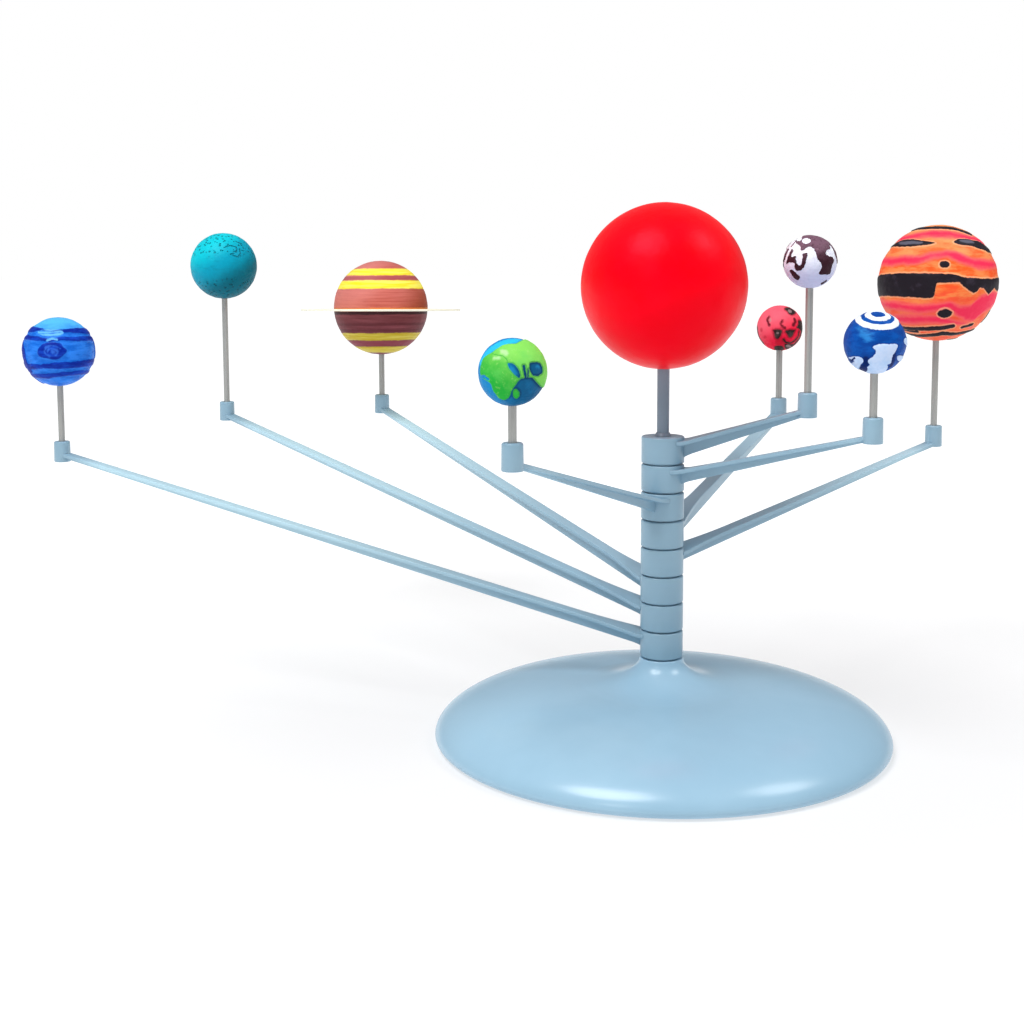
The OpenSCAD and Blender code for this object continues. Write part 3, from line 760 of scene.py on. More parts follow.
def earthFinish():
    f = Finish("earth_paint")
    t = tones(earth)
    dab = f.noise(300.0, 4.0, 0.6)
    fine = f.noise(1000.0, 4.0, 0.6)
    slant = f.field("slant")
    ground = f.field("ground") + (fine - 0.5) * 0.035
    # painted shade: the sea is darker towards the right and the bottom, away from the light
    side = f.step(f.field("east") + (dab - 0.5) * 0.5, -0.5, 0.5)
    sea = f.blend(side, t["seaLit"], t["seaShaded"])
    sea = f.cover(dab, 0.45, 0.7, 0.35, sea, t["seaDab"])
    sea = f.mottle(f.field("frost") + (dab - 0.5) * 0.12, -0.05, 0.06, sea, t["frost"])
    # painted shade: a dark band in the sea beside the raised land, on the shaded side
    sea = f.blend(f.step(ground, -0.1, -0.02) * side * 0.8, sea, t["shoreShade"])
    sea = f.cover(f.field("inlet") + (dab - 0.5) * 0.2, -0.06, 0.06, 0.6, sea, t["inlet"])
    land = f.mottle(slant + (dab - 0.5) * 0.7, -0.55, 0.55, t["green"], t["greenWarm"])
    land = f.cover(fine, 0.55, 0.75, 0.4, land, t["fleck"])
    land = f.cover(f.noise(150.0, 4.0, 0.6), 0.5, 0.72, 0.4, land, t["meadow"])
    land = f.cover(f.field("haze") + (dab - 0.5) * 0.14, -0.05, 0.05, 0.6, land, t["haze"])
    land = f.cover(f.field("vein") + (dab - 0.5) * 0.03, -0.01, 0.012, 0.8, land, t["vein"])
    # painted light and shade on the raised land's edge: lighter on the left, darker on the right
    rim = f.step(ground, -0.005, 0.01) * (1 - f.step(ground, 0.02, 0.06))
    land = f.blend(rim * 0.6, land, f.blend(side, t["rimLit"], t["rimShaded"]))
    colour = f.mottle(ground, -0.008, 0.01, sea, land)
    return brushed(f, earth, colour, fine, dab)


makeBall("earth_painted", "earth_ball", "earth", earth, drawEarth, earthFinish())

mars = ballOf("mars", turn=-7.4, lean=-3.0, wobble=0.04, seed=5.0, lump=(5.0, 0.07), relief=0.2,
              grain=(0.12, 0.4), strokes=(0.4, 0.3), rough=0.4,
              colours=dict(red=(244, 18, 62), redLit=(248, 98, 118), redDab=(250, 62, 88),
                           stain=(190, 14, 40), scar=(104, 18, 34), halo=(160, 16, 40),
                           crater=(34, 22, 24), craterDab=(78, 62, 60), crater_highlight=(176, 150, 150)))


def drawMars(c):
    dark = join(c.patch([(0.24, 0.9), (0.42, 0.9), (0.62, 0.78), (0.7, 0.68), (0.6, 0.56), (0.44, 0.6),
                         (0.34, 0.72),
                         (0.24, 0.8)]),
                c.patch([(0.82, 0.34), (0.96, 0.3), (1.1, 0.1), (1.12, -0.3), (0.98, -0.3),
                         (0.88, -0.06),
                         (0.76, 0.02), (0.82, 0.16)]),
                c.patch([(-0.25, -0.1), (-0.05, -0.06), (0.15, -0.08), (0.14, -0.25), (0.04, -0.46),
                         (-0.12, -0.48), (-0.17, -0.34), (-0.2, -0.24)]),
                c.patch([(0.27, -0.13), (0.45, -0.07), (0.73, -0.07), (0.66, -0.22), (0.56, -0.38),
                         (0.44, -0.4),
                         (0.36, -0.28)]),
                c.streak([(0.86, -0.14), (0.82, -0.36), (0.68, -0.56), (0.46, -0.66), (0.3, -0.62),
                          (0.22, -0.5)], 0.06),
                c.streak([(0.97, -0.1), (0.88, -0.44), (0.72, -0.66), (0.5, -0.84)], 0.11),
                c.patch([(-0.17, -0.82), (0, -0.78), (0.16, -0.8), (0.22, -0.94), (0, -1.04),
                         (-0.18, -0.98)]),
                c.patch([(0.24, -0.72), (0.5, -0.7), (0.64, -0.72), (0.52, -0.88), (0.3, -0.94)]),
                c.streak([(-0.98, -0.04), (-0.94, -0.3), (-0.83, -0.54), (-0.74, -0.65)], 0.16),
                c.spot(-0.6, -0.1, 0.4, 0.2, 20, True),
                c.spot(0.3, 0.4, 0.22, 0.16, -20, True), c.spot(0.1, -0.55, 0.14, 0.2, 0, True),
                c.streak([(-0.3, 0.7), (0, 0.75), (0.3, 0.7)], 0.06, True),
                c.streak([(0.6, -0.1), (0.7, -0.35), (0.5, -0.6)], 0.06, True),
                c.spot(-0.65, 0.45, 0.1, 0.1, 0, True))
    # painted highlights: pale spots on the black marks
    pale = join(c.spot(-0.37, 0.34, 0.05, 0.1), c.spot(0.45, 0.75, 0.1, 0.06, -30),
                c.spot(-0.04, -0.22, 0.05, 0.05), c.spot(0.42, -0.8, 0.12, 0.06, -10))
    scar = join(c.streak([(-0.43, 0.52), (-0.5, 0.34), (-0.4, 0.12)], 0.05),
                c.streak([(0.16, 0.34), (0.1, 0.18), (0.16, 0.06), (0.26, 0)], 0.045),
                c.streak([(0.66, 0.4), (0.71, 0.28), (0.62, 0.12)], 0.07))
    stain = join(c.spot(-0.6, -0.4, 0.07, 0.07), c.spot(-0.76, -0.1, 0.06, 0.1),
                 c.patch([(-0.1, -0.5), (0.2, -0.45), (0.3, -0.6), (0.1, -0.85), (-0.12, -0.8)]))
    # lighter towards the upper left, for painted light
    lean = -0.45 * c.points[:, 0] + 0.8 * c.points[:, 2]
    height = 1 - 0.5 * raised(dark)
    return {"crater": dark, "crater_highlight": pale, "stain": stain, "scar": scar, "mars_lit": lean}, height


def marsFinish():
    f = Finish("mars_paint")
    t = tones(mars)
    dab = f.noise(380.0, 4.0, 0.6)
    fine = f.noise(1200.0, 4.0, 0.6)
    slant = f.field("mars_lit")
    # painted light: the red is lighter towards the upper left
    under = f.mottle(slant + (dab - 0.5) * 0.5, -0.5, 0.45, t["red"], t["redLit"])
    under = f.cover(dab, 0.5, 0.75, 0.3, under, t["redDab"])
    under = f.cover(f.field("stain") + (dab - 0.5) * 0.1, -0.06, 0.06, 0.6, under, t["stain"])
    scar = f.field("scar") + (fine - 0.5) * 0.12 + (dab - 0.5) * 0.12
    under = f.mottle(scar, -0.06, 0.05, under, t["scar"])
    crater = f.field("crater") + (fine - 0.5) * 0.09 + (dab - 0.5) * 0.05
    colour = f.cover(crater, -0.1, 0.0, 0.7, under, t["halo"])
    colour = f.mottle(crater, -0.02, 0.04, colour, f.mottle(dab, 0.4, 0.7, t["crater"], t["craterDab"]))
    # the painted highlights on the black marks
    colour = f.cover(f.field("crater_highlight") + (fine - 0.5) * 0.06, -0.03, 0.04, 0.6, colour, t["crater_highlight"])
    return brushed(f, mars, colour, fine, dab)


makeBall("mars_painted", "mars_ball", "mars", mars, drawMars, marsFinish())

jupiter = ballOf("jupiter", turn=-10.2, lean=-1.0, wobble=0.02, seed=6.0, lump=(7.0, 0.08),
                 relief=0.5, grain=(0.2, 0.35), strokes=(0.8, 0.3), rough=0.38,
                 colours=dict(orange=(255, 92, 34), orangeLight=(255, 142, 78),
                              crown=(255, 170, 112), blush=(255, 78, 74), rose=(255, 96, 100),
                              roseDeep=(252, 48, 88), inkEdge=(255, 196, 150), ink=(33, 28, 36),
                              inkDab=(66, 58, 72), inkSheen=(112, 112, 130)))


def drawJupiter(c):
    stripes = join(
        c.belt([(-180, 0.84), (-60, 0.82), (-15, 0.9), (20, 0.88), (60, 0.8), (100, 0.74), (140, 0.84)],
               [(-180, 0.74), (-60, 0.7), (-15, 0.77), (20, 0.76), (60, 0.66), (100, 0.62),
                (140, 0.74)]),
        c.belt([(-180, 0.36), (-120, 0.5), (-80, 0.44), (-50, 0.44), (-20, 0.46), (-8, 0.52), (8, 0.55),
                (18, 0.53), (35, 0.43), (60, 0.39), (90, 0.37), (130, 0.46)],
               [(-180, 0.26), (-120, 0.38), (-80, 0.29), (-50, 0.29), (-20, 0.31), (-4, 0.4),
                (10, 0.42),
                (22, 0.33), (38, 0.25), (60, 0.23), (90, 0.24), (130, 0.34)]),
        c.belt([(-180, -0.34), (-130, -0.42), (-80, -0.3), (-40, -0.32), (-18, -0.37), (0, -0.34),
                (13, -0.3), (24, -0.38), (36, -0.36), (44, -0.22), (60, -0.14), (90, -0.12),
                (120, -0.3)],
               [(-180, -0.44), (-130, -0.52), (-80, -0.43), (-40, -0.47), (-18, -0.52), (0, -0.48),
                (13, -0.44), (24, -0.56), (36, -0.64), (50, -0.64), (60, -0.5), (90, -0.36),
                (120, -0.44)]),
        c.belt([(-180, -0.6), (-90, -0.56), (-40, -0.54), (0, -0.53), (16, -0.58), (40, -0.66),
                (70, -0.8),
                (120, -0.64)],
               [(-180, -0.68), (-90, -0.68), (-40, -0.69), (0, -0.68), (16, -0.7), (40, -0.7),
                (70, -0.8),
                (120, -0.72)]))
    equator = c.belt([(-180, 0.16), (-120, 0.1), (-90, 0.1), (-70, 0.14), (-30, 0.17), (0, 0.16),
                      (14, 0.15),
                      (25, 0.1), (45, 0.08), (70, 0.08), (90, 0.1), (140, 0.14)],
                     [(-180, -0.16), (-150, -0.24), (-120, -0.14), (-90, -0.24), (-60, -0.22),
                      (-30, -0.23),
                      (-10, -0.25), (-4, -0.24), (-2, -0.2), (-1, 0.0), (5, 0.01), (21, 0.01),
                      (24, -0.04),
                      (30, -0.12), (36, -0.17), (39, -0.15), (43, -0.08), (48, -0.08), (53, -0.15),
                      (57, -0.19),
                      (61, -0.14), (67, -0.08), (75, -0.13), (90, -0.12), (110, -0.02), (130, -0.02),
                      (150, -0.2)])
    marks = join(
        c.streak([(-0.42, 0.905), (-0.2, 0.932), (0, 0.938), (0.2, 0.925), (0.4, 0.87), (0.5, 0.83)],
                 0.075),
        c.patch([(-0.82, 0.6), (-0.7, 0.68), (-0.55, 0.73), (-0.3, 0.72), (-0.04, 0.67), (-0.3, 0.62),
                 (-0.55, 0.61)]),
        c.patch([(0.24, 0.69), (0.35, 0.74), (0.52, 0.72), (0.72, 0.66), (0.95, 0.54), (0.85, 0.5),
                 (0.7, 0.56),
                 (0.5, 0.62), (0.35, 0.64)]),
        c.spot(0.1, 0.31, 0.085, 0.06), c.spot(0.13, -0.5, 0.12, 0.075),
        c.streak([(-0.66, -0.73), (-0.4, -0.78), (-0.1, -0.765), (0.1, -0.755), (0.26, -0.72)], 0.056),
        c.streak([(0.42, -0.74), (0.58, -0.69)], 0.04), c.streak([(-0.56, -0.8), (-0.3, -0.83)], 0.03),
        c.streak([(-0.48, -0.87), (-0.1, -0.885), (0.1, -0.85), (0.32, -0.86), (0.6, -0.79)], 0.062),
        c.streak([(0.2, -0.965), (0.34, -0.94)], 0.04), c.streak([(0.87, -0.46), (0.74, -0.66)], 0.03),
        c.patch([(-0.6, 0.62), (-0.2, 0.7), (0.2, 0.66), (-0.1, 0.6)], True),
        c.spot(0.5, 0.52, 0.16, 0.05, -8, True),
        c.spot(0.1, -0.45, 0.1, 0.07, 0, True), c.spot(-0.45, 0.3, 0.08, 0.06, 0, True),
        c.streak([(-0.6, -0.72), (-0.1, -0.76), (0.4, -0.72)], 0.035, True),
        c.streak([(-0.3, -0.88), (0.3, -0.86)], 0.03, True))
    black = join(equator, marks)
    sheen = join(c.spot(-0.45, 0.67, 0.2, 0.03), c.spot(0.45, 0.69, 0.12, 0.025, -8))
    height = 0.35 * raised(stripes, 0.05) + 0.65 * raised(black, 0.025)
    return {"rose": stripes, "ink": black, "ink_sheen": sheen, "jupiter_up": c.points[:, 2]}, height


def jupiterFinish():
    f = Finish("jupiter_paint")
    t = tones(jupiter)
    sweep = f.noise(120.0, 5.0, 0.62, (1.0, 1.0, 3.2))
    dab = f.noise(240.0, 4.0, 0.6)
    fine = f.noise(800.0, 4.0, 0.6)
    up = f.field("jupiter_up")
    under = f.mottle(sweep, 0.36, 0.62, t["orange"], t["orangeLight"])
    # painted light: the orange is lighter towards the top
    under = f.cover(up + (sweep - 0.5) * 0.8, 0.2, 0.9, 0.55, under, t["crown"])
    blush = f.step(up + (sweep - 0.5) * 1.2, -0.35, -0.1)
    under = f.blend((1 - blush) * 0.4, under, t["blush"])
    wobble = (fine - 0.5) * 0.03
    rose = f.field("rose") + (sweep - 0.5) * 0.09 + wobble
    colour = f.mottle(rose, -0.045, 0.03, under,
                      f.mottle(rose, 0.0, 0.07, t["rose"], t["roseDeep"]))
    ink = f.field("ink") + wobble
    colour = f.cover(ink, -0.032, -0.018, 0.5, colour, t["inkEdge"])
    dark = f.cover(dab, 0.5, 0.75, 0.6, t["ink"], t["inkDab"])
    dark = f.cover(f.field("ink_sheen") + (dab - 0.5) * 0.05, -0.02, 0.02, 0.7, dark, t["inkSheen"])
    colour = f.mottle(ink, -0.008, 0.008, colour, dark)
    return brushed(f, jupiter, colour, fine, sweep)


makeBall("jupiter_painted", "jupiter_ball", "jupiter", jupiter, drawJupiter, jupiterFinish())

saturn = ballOf("saturn", turn=10.9, lean=-2.0, wobble=0.012, seed=7.0, lump=(6.0, 0.08),
                relief=0.12, grain=(0.14, 0.3), strokes=(0.4, 0.25), rough=0.36,
                colours=dict(brick=(188, 92, 84), brickLight=(206, 114, 104),
                             brickShade=(158, 72, 48), brickHighlight=(224, 140, 134),
                             maroon=(112, 54, 60), maroonLight=(136, 72, 80), shade=(84, 34, 40),
                             plum=(150, 62, 78), seam=(236, 150, 76), gap=(44, 28, 34),
                             gold=(252, 226, 40), goldLight=(255, 246, 104), shadedGold=(172, 146, 40),
                             shadedGoldPale=(206, 186, 84)))


def drawSaturn(c):
    gold = join(c.level(0.82, 0.68), c.level(0.57, 0.4), c.level(-0.53, -0.68), c.level(-0.82, -0.95))
    lower = c.level(-0.07, -1.2)
    plum = join(c.level(0.67, 0.58), c.level(-0.69, -0.81))
    seam = c.level(-0.0, -0.075)
    shade = join(c.level(-0.31, -0.38), c.level(-0.2, -0.22), c.level(-0.44, -0.52))
    # painted light and shade: the brick is lighter towards the upper left and darker to the right
    paintedLight = -0.75 * c.points[:, 0] + 0.4 * c.points[:, 2]
    # the dark line just under the ring is its painted shadow
    return {"gold": gold, "lower": lower, "plum": plum, "seam": seam, "shade": shade,
            "gap": c.level(-0.08, -0.14), "saturn_lit": paintedLight}, 0.5 + 0.5 * raised(gold, 0.03)


def saturnFinish():
    f = Finish("saturn_paint")
    t = tones(saturn)
    sweep = f.noise(110.0, 5.0, 0.62, (1.0, 1.0, 5.0))
    line = f.noise(260.0, 4.0, 0.6, (0.25, 0.25, 5.0))
    fine = f.noise(900.0, 4.0, 0.6)
    wobble = (fine - 0.5) * 0.02 + (sweep - 0.5) * 0.035
    lower = f.step(f.field("lower") + wobble, -0.01, 0.01)
    brick = f.mottle(line, 0.3, 0.7, t["brick"], t["brickLight"])
    paintedLight = f.field("saturn_lit") + (sweep - 0.5) * 0.2
    # painted shade on the right, painted highlight at the upper left
    brick = f.blend(1 - f.step(paintedLight, -0.75, -0.1), brick, t["brickShade"])
    brick = f.cover(paintedLight, 0.1, 0.5, 0.5, brick, t["brickHighlight"])
    maroon = f.mottle(line, 0.3, 0.7, t["maroon"], t["maroonLight"])
    colour = f.blend(lower, brick, maroon)
    colour = f.cover(f.field("shade") + wobble, -0.02, 0.03, 0.6, colour, t["shade"])
    colour = f.cover(f.field("plum") + wobble, -0.01, 0.02, 0.55, colour, t["plum"])
    colour = f.cover(f.field("seam") + wobble, -0.01, 0.02, 0.8, colour, t["seam"])
    # painted shadow: a dark line on the ball just under the ring
    colour = f.cover(f.field("gap") + wobble, -0.015, 0.01, 0.85, colour, t["gap"])
    gold = f.mottle(line, 0.35, 0.65, t["gold"], t["goldLight"])
    # painted shade: the gold bands below the ring are darker
    gold = f.blend(lower * 0.75, gold, f.mottle(line, 0.35, 0.65, t["shadedGold"], t["shadedGoldPale"]))
    colour = f.mottle(f.field("gold") + wobble, -0.014, 0.014, colour, gold)
    return brushed(f, saturn, colour, fine, line)


makeBall("saturn_painted", "saturn_ball", "saturn", saturn, drawSaturn, saturnFinish())

ring = dict(inner=19.5, outer=34.2, thick=0.8, tilt=2.0, drop=1.0, grooves=(23.4, 27.2, 30.6), edge=0.3,
            turns=160,
            colours=dict(inner=(252, 238, 184), middle=(246, 246, 214), outer=(255, 252, 232),
                         fleck=(224, 218, 170)))


def ringFinish():
    f = Finish("ring_paint")
    t = tones(ring)
    away = f.field("ring_out")
    fine = f.noise(900.0, 4.0, 0.6)
    dab = f.noise(260.0, 4.0, 0.6)
    colour = f.mottle(away + (dab - 0.5) * 0.2, 0.1, 0.5, t["inner"], t["middle"])
    colour = f.mottle(away + (dab - 0.5) * 0.15, 0.6, 0.9, colour, t["outer"])
    colour = f.cover(fine, 0.5, 0.8, 0.25, colour, t["fleck"])
    skin = f.bump(fine, 0.00008, 0.3)
    return f.surface(Base_Color=colour, Roughness=0.4 + 0.2 * fine, Specular_IOR_Level=paintGloss,
                     Normal=skin)


def makeRing():
    half = ring["thick"] / 2
    edge = ring["edge"]
    outline = [(ring["inner"], -half)] + corner(ring["outer"] - edge, edge - half, edge, -90, 0, 3)
    outline += corner(ring["outer"] - edge, half - edge, edge, 0, 90, 3)
    upper = []
    for r in reversed(ring["grooves"]):
        upper += [(r + 0.35, half), (r + 0.12, half - 0.12), (r - 0.12, half - 0.12), (r - 0.35, half)]
    outline += upper + [(ring["inner"], half)]
    mesh = bmesh.new()
    turned(mesh, outline, ring["turns"])
    centre = (Vector(saturn["centre"]) - Vector((0.0, 0.0, ring["drop"]))) * mm
    bmesh.ops.rotate(mesh, verts=mesh.verts, cent=(0, 0, 0),
                     matrix=Matrix.Rotation(math.radians(-ring["tilt"]), 3, "X"))
    bmesh.ops.translate(mesh, verts=mesh.verts, vec=centre)
    piece = toPiece("ring_painted", mesh, "saturn", "saturn_ring", ringFinish())
    span = ring["outer"] - ring["inner"]
    setField(piece, "ring_out", [((v.co - centre).length / mm - ring["inner"]) / span
                                 for v in piece.data.vertices])


makeRing()

uranus = ballOf("uranus", turn=16.9, lean=-1.0, wobble=0.0, seed=8.0, lump=(5.0, 0.1), relief=0.0,
                colours=dict(shade=(0, 104, 124), teal=(0, 156, 186), light=(10, 200, 216),
                             pitShade=(0, 74, 88), sweep=(0, 120, 140)))


def drawUranus(c):
    x, y, z = c.points.T
    light = -0.45 * x + 0.75 * z
    grooves = join(c.streak([(0.28, 0.3), (0.42, 0.26), (0.5, 0.36), (0.48, 0.5)], 0.012),
                   c.streak([(0.3, 0.42), (0.4, 0.44), (0.38, 0.56), (0.2, 0.6), (0.02, 0.54)], 0.012),
                   c.streak([(0.6, 0.52), (0.52, 0.66), (0.36, 0.74)], 0.012),
                   c.streak([(0.2, 0.34), (0.3, 0.36)], 0.014))
    return {"uranus_light": light, "uranus_up": z, "groove": grooves}, np.ones(len(x))


def uranusFinish():
    f = Finish("uranus_paint")
    t = tones(uranus)
    dab = f.noise(240.0, 4.0, 0.6)
    fine = f.noise(1000.0, 4.0, 0.6)
    sweep = f.noise(200.0, 3.0, 0.5, (1.0, 1.0, 4.0))
    light = f.field("uranus_light") + (dab - 0.5) * 0.25
    up = f.field("uranus_up")
    colour = f.mottle(light, -0.5, 0.1, t["shade"], t["teal"])
    colour = f.mottle(light, 0.1, 0.65, colour, t["light"])
    dots = f.add("ShaderNodeTexVoronoi", {"feature": "F1"}, {
        "Vector": f.place, "Scale": 640.0, "Randomness": 0.9}, "Distance")
    height = up + (dab - 0.5) * 0.3
    crowd = f.larger(f.step(height, 0.2, 0.42), 1 - f.step(height, -0.48, -0.34))
    pit = (1 - f.step(dots, 0.2, 0.34)) * crowd
    groove = f.step(f.field("groove"), -0.012, 0.006)
    hollow = f.larger(pit, groove)
    # painted shade: darker in the pits and grooves
    colour = f.blend(hollow * 0.7, colour, t["pitShade"])
    colour = f.blend(f.step(sweep, 0.55, 0.7) * (1 - crowd) * 0.35, colour, t["sweep"])
    skin = f.bump(1 - hollow, 0.0004, 0.9)
    skin = f.bump(fine, 0.00012, 0.3, skin)
    return f.surface(Base_Color=colour, Roughness=0.4 + 0.18 * fine, Specular_IOR_Level=paintGloss,
                     Normal=skin)


makeBall("uranus_painted", "uranus_ball", "uranus", uranus, drawUranus, uranusFinish())

neptune = ballOf("neptune", turn=23.0, lean=-3.5, wobble=0.03, seed=9.0, lump=(5.0, 0.1),
                 relief=0.4, grain=(0.16, 0.4), strokes=(0.6, 0.35), rough=0.34,
                 colours=dict(blue=(14, 100, 208), blueLight=(46, 132, 240), crown=(84, 186, 255),
                              storm_and_edge_shade=(0, 36, 150), stormLight=(14, 70, 194), swirl=(58, 122, 232),
                              lens=(112, 196, 255)))


def drawNeptune(c):
    bands = join(
        c.belt([(-180, 0.62), (-100, 0.74), (-60, 0.72), (-35, 0.66), (-10, 0.6), (10, 0.63),
                (40, 0.66), (80, 0.66), (130, 0.6)],
               [(-180, 0.54), (-100, 0.56), (-60, 0.56), (-35, 0.61), (-10, 0.56), (10, 0.53),
                (40, 0.5), (80, 0.48), (130, 0.5)]),
        c.belt([(-180, 0.36), (-120, 0.46), (-70, 0.5), (-35, 0.44), (-12, 0.35), (5, 0.42), (30, 0.4),
                (60, 0.44), (100, 0.4), (140, 0.36)],
               [(-180, 0.24), (-120, 0.32), (-70, 0.36), (-35, 0.32), (-14, 0.27), (5, 0.31),
                (30, 0.28), (60, 0.3), (100, 0.26), (140, 0.26)]),
        c.belt([(-180, -0.28), (-110, -0.24), (-60, -0.32), (-30, -0.34), (-10, -0.3), (20, -0.28),
                (50, -0.24), (100, -0.22), (140, -0.3)],
               [(-180, -0.4), (-110, -0.44), (-60, -0.5), (-30, -0.46), (0, -0.48), (30, -0.47),
                (60, -0.45), (100, -0.4), (140, -0.42)]),
        c.belt([(-180, -0.6), (-110, -0.56), (-60, -0.62), (-30, -0.6), (0, -0.58), (40, -0.54),
                (100, -0.56), (140, -0.6)],
               [(-180, -0.72), (-110, -0.72), (-60, -0.74), (-30, -0.76), (0, -0.7), (40, -0.68),
                (100, -0.66), (140, -0.7)]),
        # painted shade: dark strips along the left and right edges of the face
        c.streak([(-1.0, 0.3), (-0.97, 0.05), (-0.92, -0.25), (-0.82, -0.5)], 0.16),
        c.streak([(-0.74, -0.72), (-0.62, -0.82), (-0.46, -0.9)], 0.05),
        c.streak([(0.96, 0.3), (1.02, 0), (0.98, -0.2)], 0.06))
    spot = join(c.patch([(-0.57, 0.04), (-0.46, 0.2), (-0.26, 0.27), (0, 0.26), (0.12, 0.14),
                         (0.22, 0.02),
                         (0.1, -0.13), (-0.1, -0.23), (-0.32, -0.18), (-0.55, -0.1)]),
                c.spot(0.2, 0.02, 0.28, 0.14, 10, True))
    swirl = join(c.spot(-0.16, 0, 0.05, 0.04),
                 c.streak([(0.04, 0.1), (-0.06, 0.16), (-0.2, 0.17), (-0.32, 0.12), (-0.38, 0.03),
                           (-0.35, -0.06), (-0.26, -0.12)], 0.02),
                 c.streak([(-0.29, 0), (-0.25, 0.07), (-0.16, 0.09), (-0.06, 0.05), (-0.03, -0.03),
                           (-0.08, -0.1)], 0.016))
    lens = join(c.patch([(-0.56, 0.58), (-0.3, 0.64), (0.06, 0.6), (0.12, 0.5), (-0.12, 0.45),
                         (-0.42, 0.47)]),
                c.streak([(-0.3, 0.33), (-0.18, 0.37), (-0.04, 0.34)], 0.03))
    lines = join(c.streak([(-0.5, 0.6), (-0.2, 0.58), (0.1, 0.6)], 0.018),
                 c.streak([(-0.5, 0.53), (-0.22, 0.52), (0.06, 0.54)], 0.014))
    lens = cut(lens, lines)
    dark = join(bands, spot)
    height = raised(cut(dark, lens), 0.04)
    return {"storm_and_edge_shade": dark, "lens": lens, "swirl": swirl, "neptune_up": c.points[:, 2]}, height


def neptuneFinish():
    f = Finish("neptune_paint")
    t = tones(neptune)
    sweep = f.noise(170.0, 5.0, 0.62, (1.0, 1.0, 3.5))
    dab = f.noise(300.0, 4.0, 0.6)
    fine = f.noise(1000.0, 4.0, 0.6)
    up = f.field("neptune_up")
    under = f.mottle(sweep, 0.35, 0.65, t["blue"], t["blueLight"])
    under = f.mottle(up + (sweep - 0.5) * 0.3, 0.5, 0.85, under, t["crown"])
    # the storm bands, with the painted shade along the left and right edges
    storm_and_edge_shade = f.field("storm_and_edge_shade") + (sweep - 0.5) * 0.08 + (fine - 0.5) * 0.03
    ink = f.mottle(sweep, 0.4, 0.7, t["storm_and_edge_shade"], t["stormLight"])
    ink = f.cover(f.field("swirl") + (dab - 0.5) * 0.2, -0.03, 0.03, 0.6, ink, t["swirl"])
    colour = f.mottle(storm_and_edge_shade, -0.015, 0.02, under, ink)
    colour = f.cover(f.field("lens") + (dab - 0.5) * 0.05, -0.02, 0.02, 0.8, colour, t["lens"])
    return brushed(f, neptune, colour, fine, sweep)


makeBall("neptune_painted", "neptune_ball", "neptune", neptune, drawNeptune, neptuneFinish())
print("balls painted")

keep = dict(centre_rod=rodMoulding, rod_collar=rodMoulding, base_plate=moulding,
            plate_screws_set=screwSteel, rod_screw=screwSteel, rod_washer=screwSteel)
for name in planets:
    keep[name + "_pin"] = pinSteel
for name, material in keep.items():
    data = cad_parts[name].data
    data.materials.clear()
    data.materials.append(material)
print("finishes given")

# near and far: how much the floor glows close to the object and far from it; the dimmer floor round the
# base is a painted shadow
studio = dict(floor=(160, 161, 163), radius=9.0, near=0.6, far=0.95, fade=(0.08, 0.5), dome=0.3)
softboxes = dict(
    key_softbox=dict(towards=(-0.32, -0.4, 0.86), distance=1.2, size=0.7, power=11.6, gleam=1.3),
    side_softbox=dict(towards=(0.65, -0.05, 0.76), distance=1.2, size=0.5, power=4.2, gleam=0.1),
    low_softbox=dict(towards=(-0.34, -0.86, 0.38), distance=1.4, size=0.3, power=1.0, gleam=0.6))


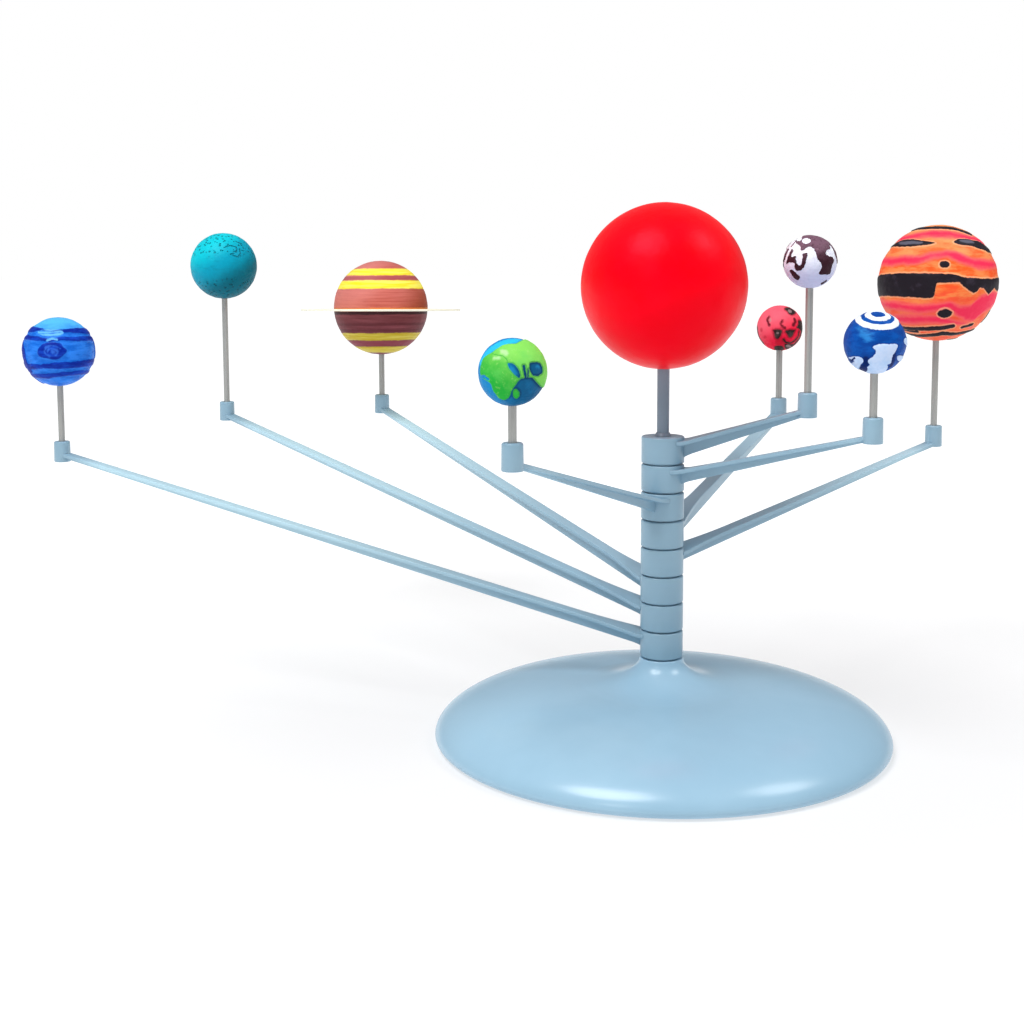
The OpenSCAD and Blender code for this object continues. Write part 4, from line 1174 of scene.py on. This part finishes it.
def makeFloor():
    mesh = bmesh.new()
    bmesh.ops.create_circle(mesh, cap_ends=True, segments=96, radius=studio["radius"])
    data = bpy.data.meshes.new("studio_floor")
    mesh.to_mesh(data)
    mesh.free()
    floor = bpy.data.objects.new("studio_floor", data)
    bpy.context.scene.collection.objects.link(floor)
    f = Finish("studio_paper")
    # painted shadow: the floor glows less close to the object
    away = f.add("ShaderNodeVectorMath", {"operation": "LENGTH"}, {0: f.place}, "Value")
    near, far = ((studio[k],) * 3 + (1.0,) for k in ("near", "far"))
    data.materials.append(f.surface(
        Base_Color=paint(*studio["floor"]), Roughness=0.9, Specular_IOR_Level=0.0, Emission_Strength=1.0,
        Emission_Color=f.mottle(away, *studio["fade"], near, far)))


def addLight(name, towards, distance, size, power, gleam):
    light = bpy.data.lights.new(name, "AREA")
    light.shape = "DISK"
    light.size = size
    light.energy = power
    light.specular_factor = gleam
    lamp = bpy.data.objects.new(name, light)
    bpy.context.scene.collection.objects.link(lamp)
    aim = Vector(towards).normalized()
    lookAt = Vector((0.0, 0.0, 0.11))  # partway up the column
    lamp.location = lookAt + aim * distance
    lamp.rotation_mode = "QUATERNION"
    lamp.rotation_quaternion = aim.to_track_quat("Z", "Y")


def makeWorld():
    world = bpy.data.worlds.new("studio")
    bpy.context.scene.world = world
    world.use_nodes = True
    tree = world.node_tree
    paintedLight = tree.nodes["Background"]
    paintedLight.inputs["Color"].default_value = (1.0, 1.0, 1.0, 1.0)
    seen = tree.nodes.new("ShaderNodeLightPath")
    level = tree.nodes.new("ShaderNodeMapRange")
    level.inputs["To Min"].default_value = studio["dome"]
    level.inputs["To Max"].default_value = 1.0
    tree.links.new(seen.outputs["Is Camera Ray"], level.inputs["Value"])
    tree.links.new(level.outputs["Result"], paintedLight.inputs["Strength"])


makeFloor()
makeWorld()
for name, box in softboxes.items():
    addLight(name, **box)
bpy.context.scene.view_settings.view_transform = "Standard"

view = dict(place=(0.0, -0.480, 0.1606), down=6.0, left=5.88, roll=-0.186, lens=51.89, rise=-0.1025,
            clipStart=0.02, clipEnd=40.0)
camera = bpy.data.cameras.new("camera")
camera.lens = view["lens"]
camera.sensor_width = 36.0
camera.shift_y = view["rise"]
camera.clip_start = view["clipStart"]
camera.clip_end = view["clipEnd"]
eye = bpy.data.objects.new("camera", camera)
bpy.context.scene.collection.objects.link(eye)
eye.matrix_world = Matrix.Translation(view["place"]) @ Matrix.Rotation(
    math.radians(view["left"]), 4, "Z") @ Matrix.Rotation(
    math.radians(90 - view["down"]), 4, "X") @ Matrix.Rotation(math.radians(view["roll"]), 4, "Z")
bpy.context.scene.camera = eye
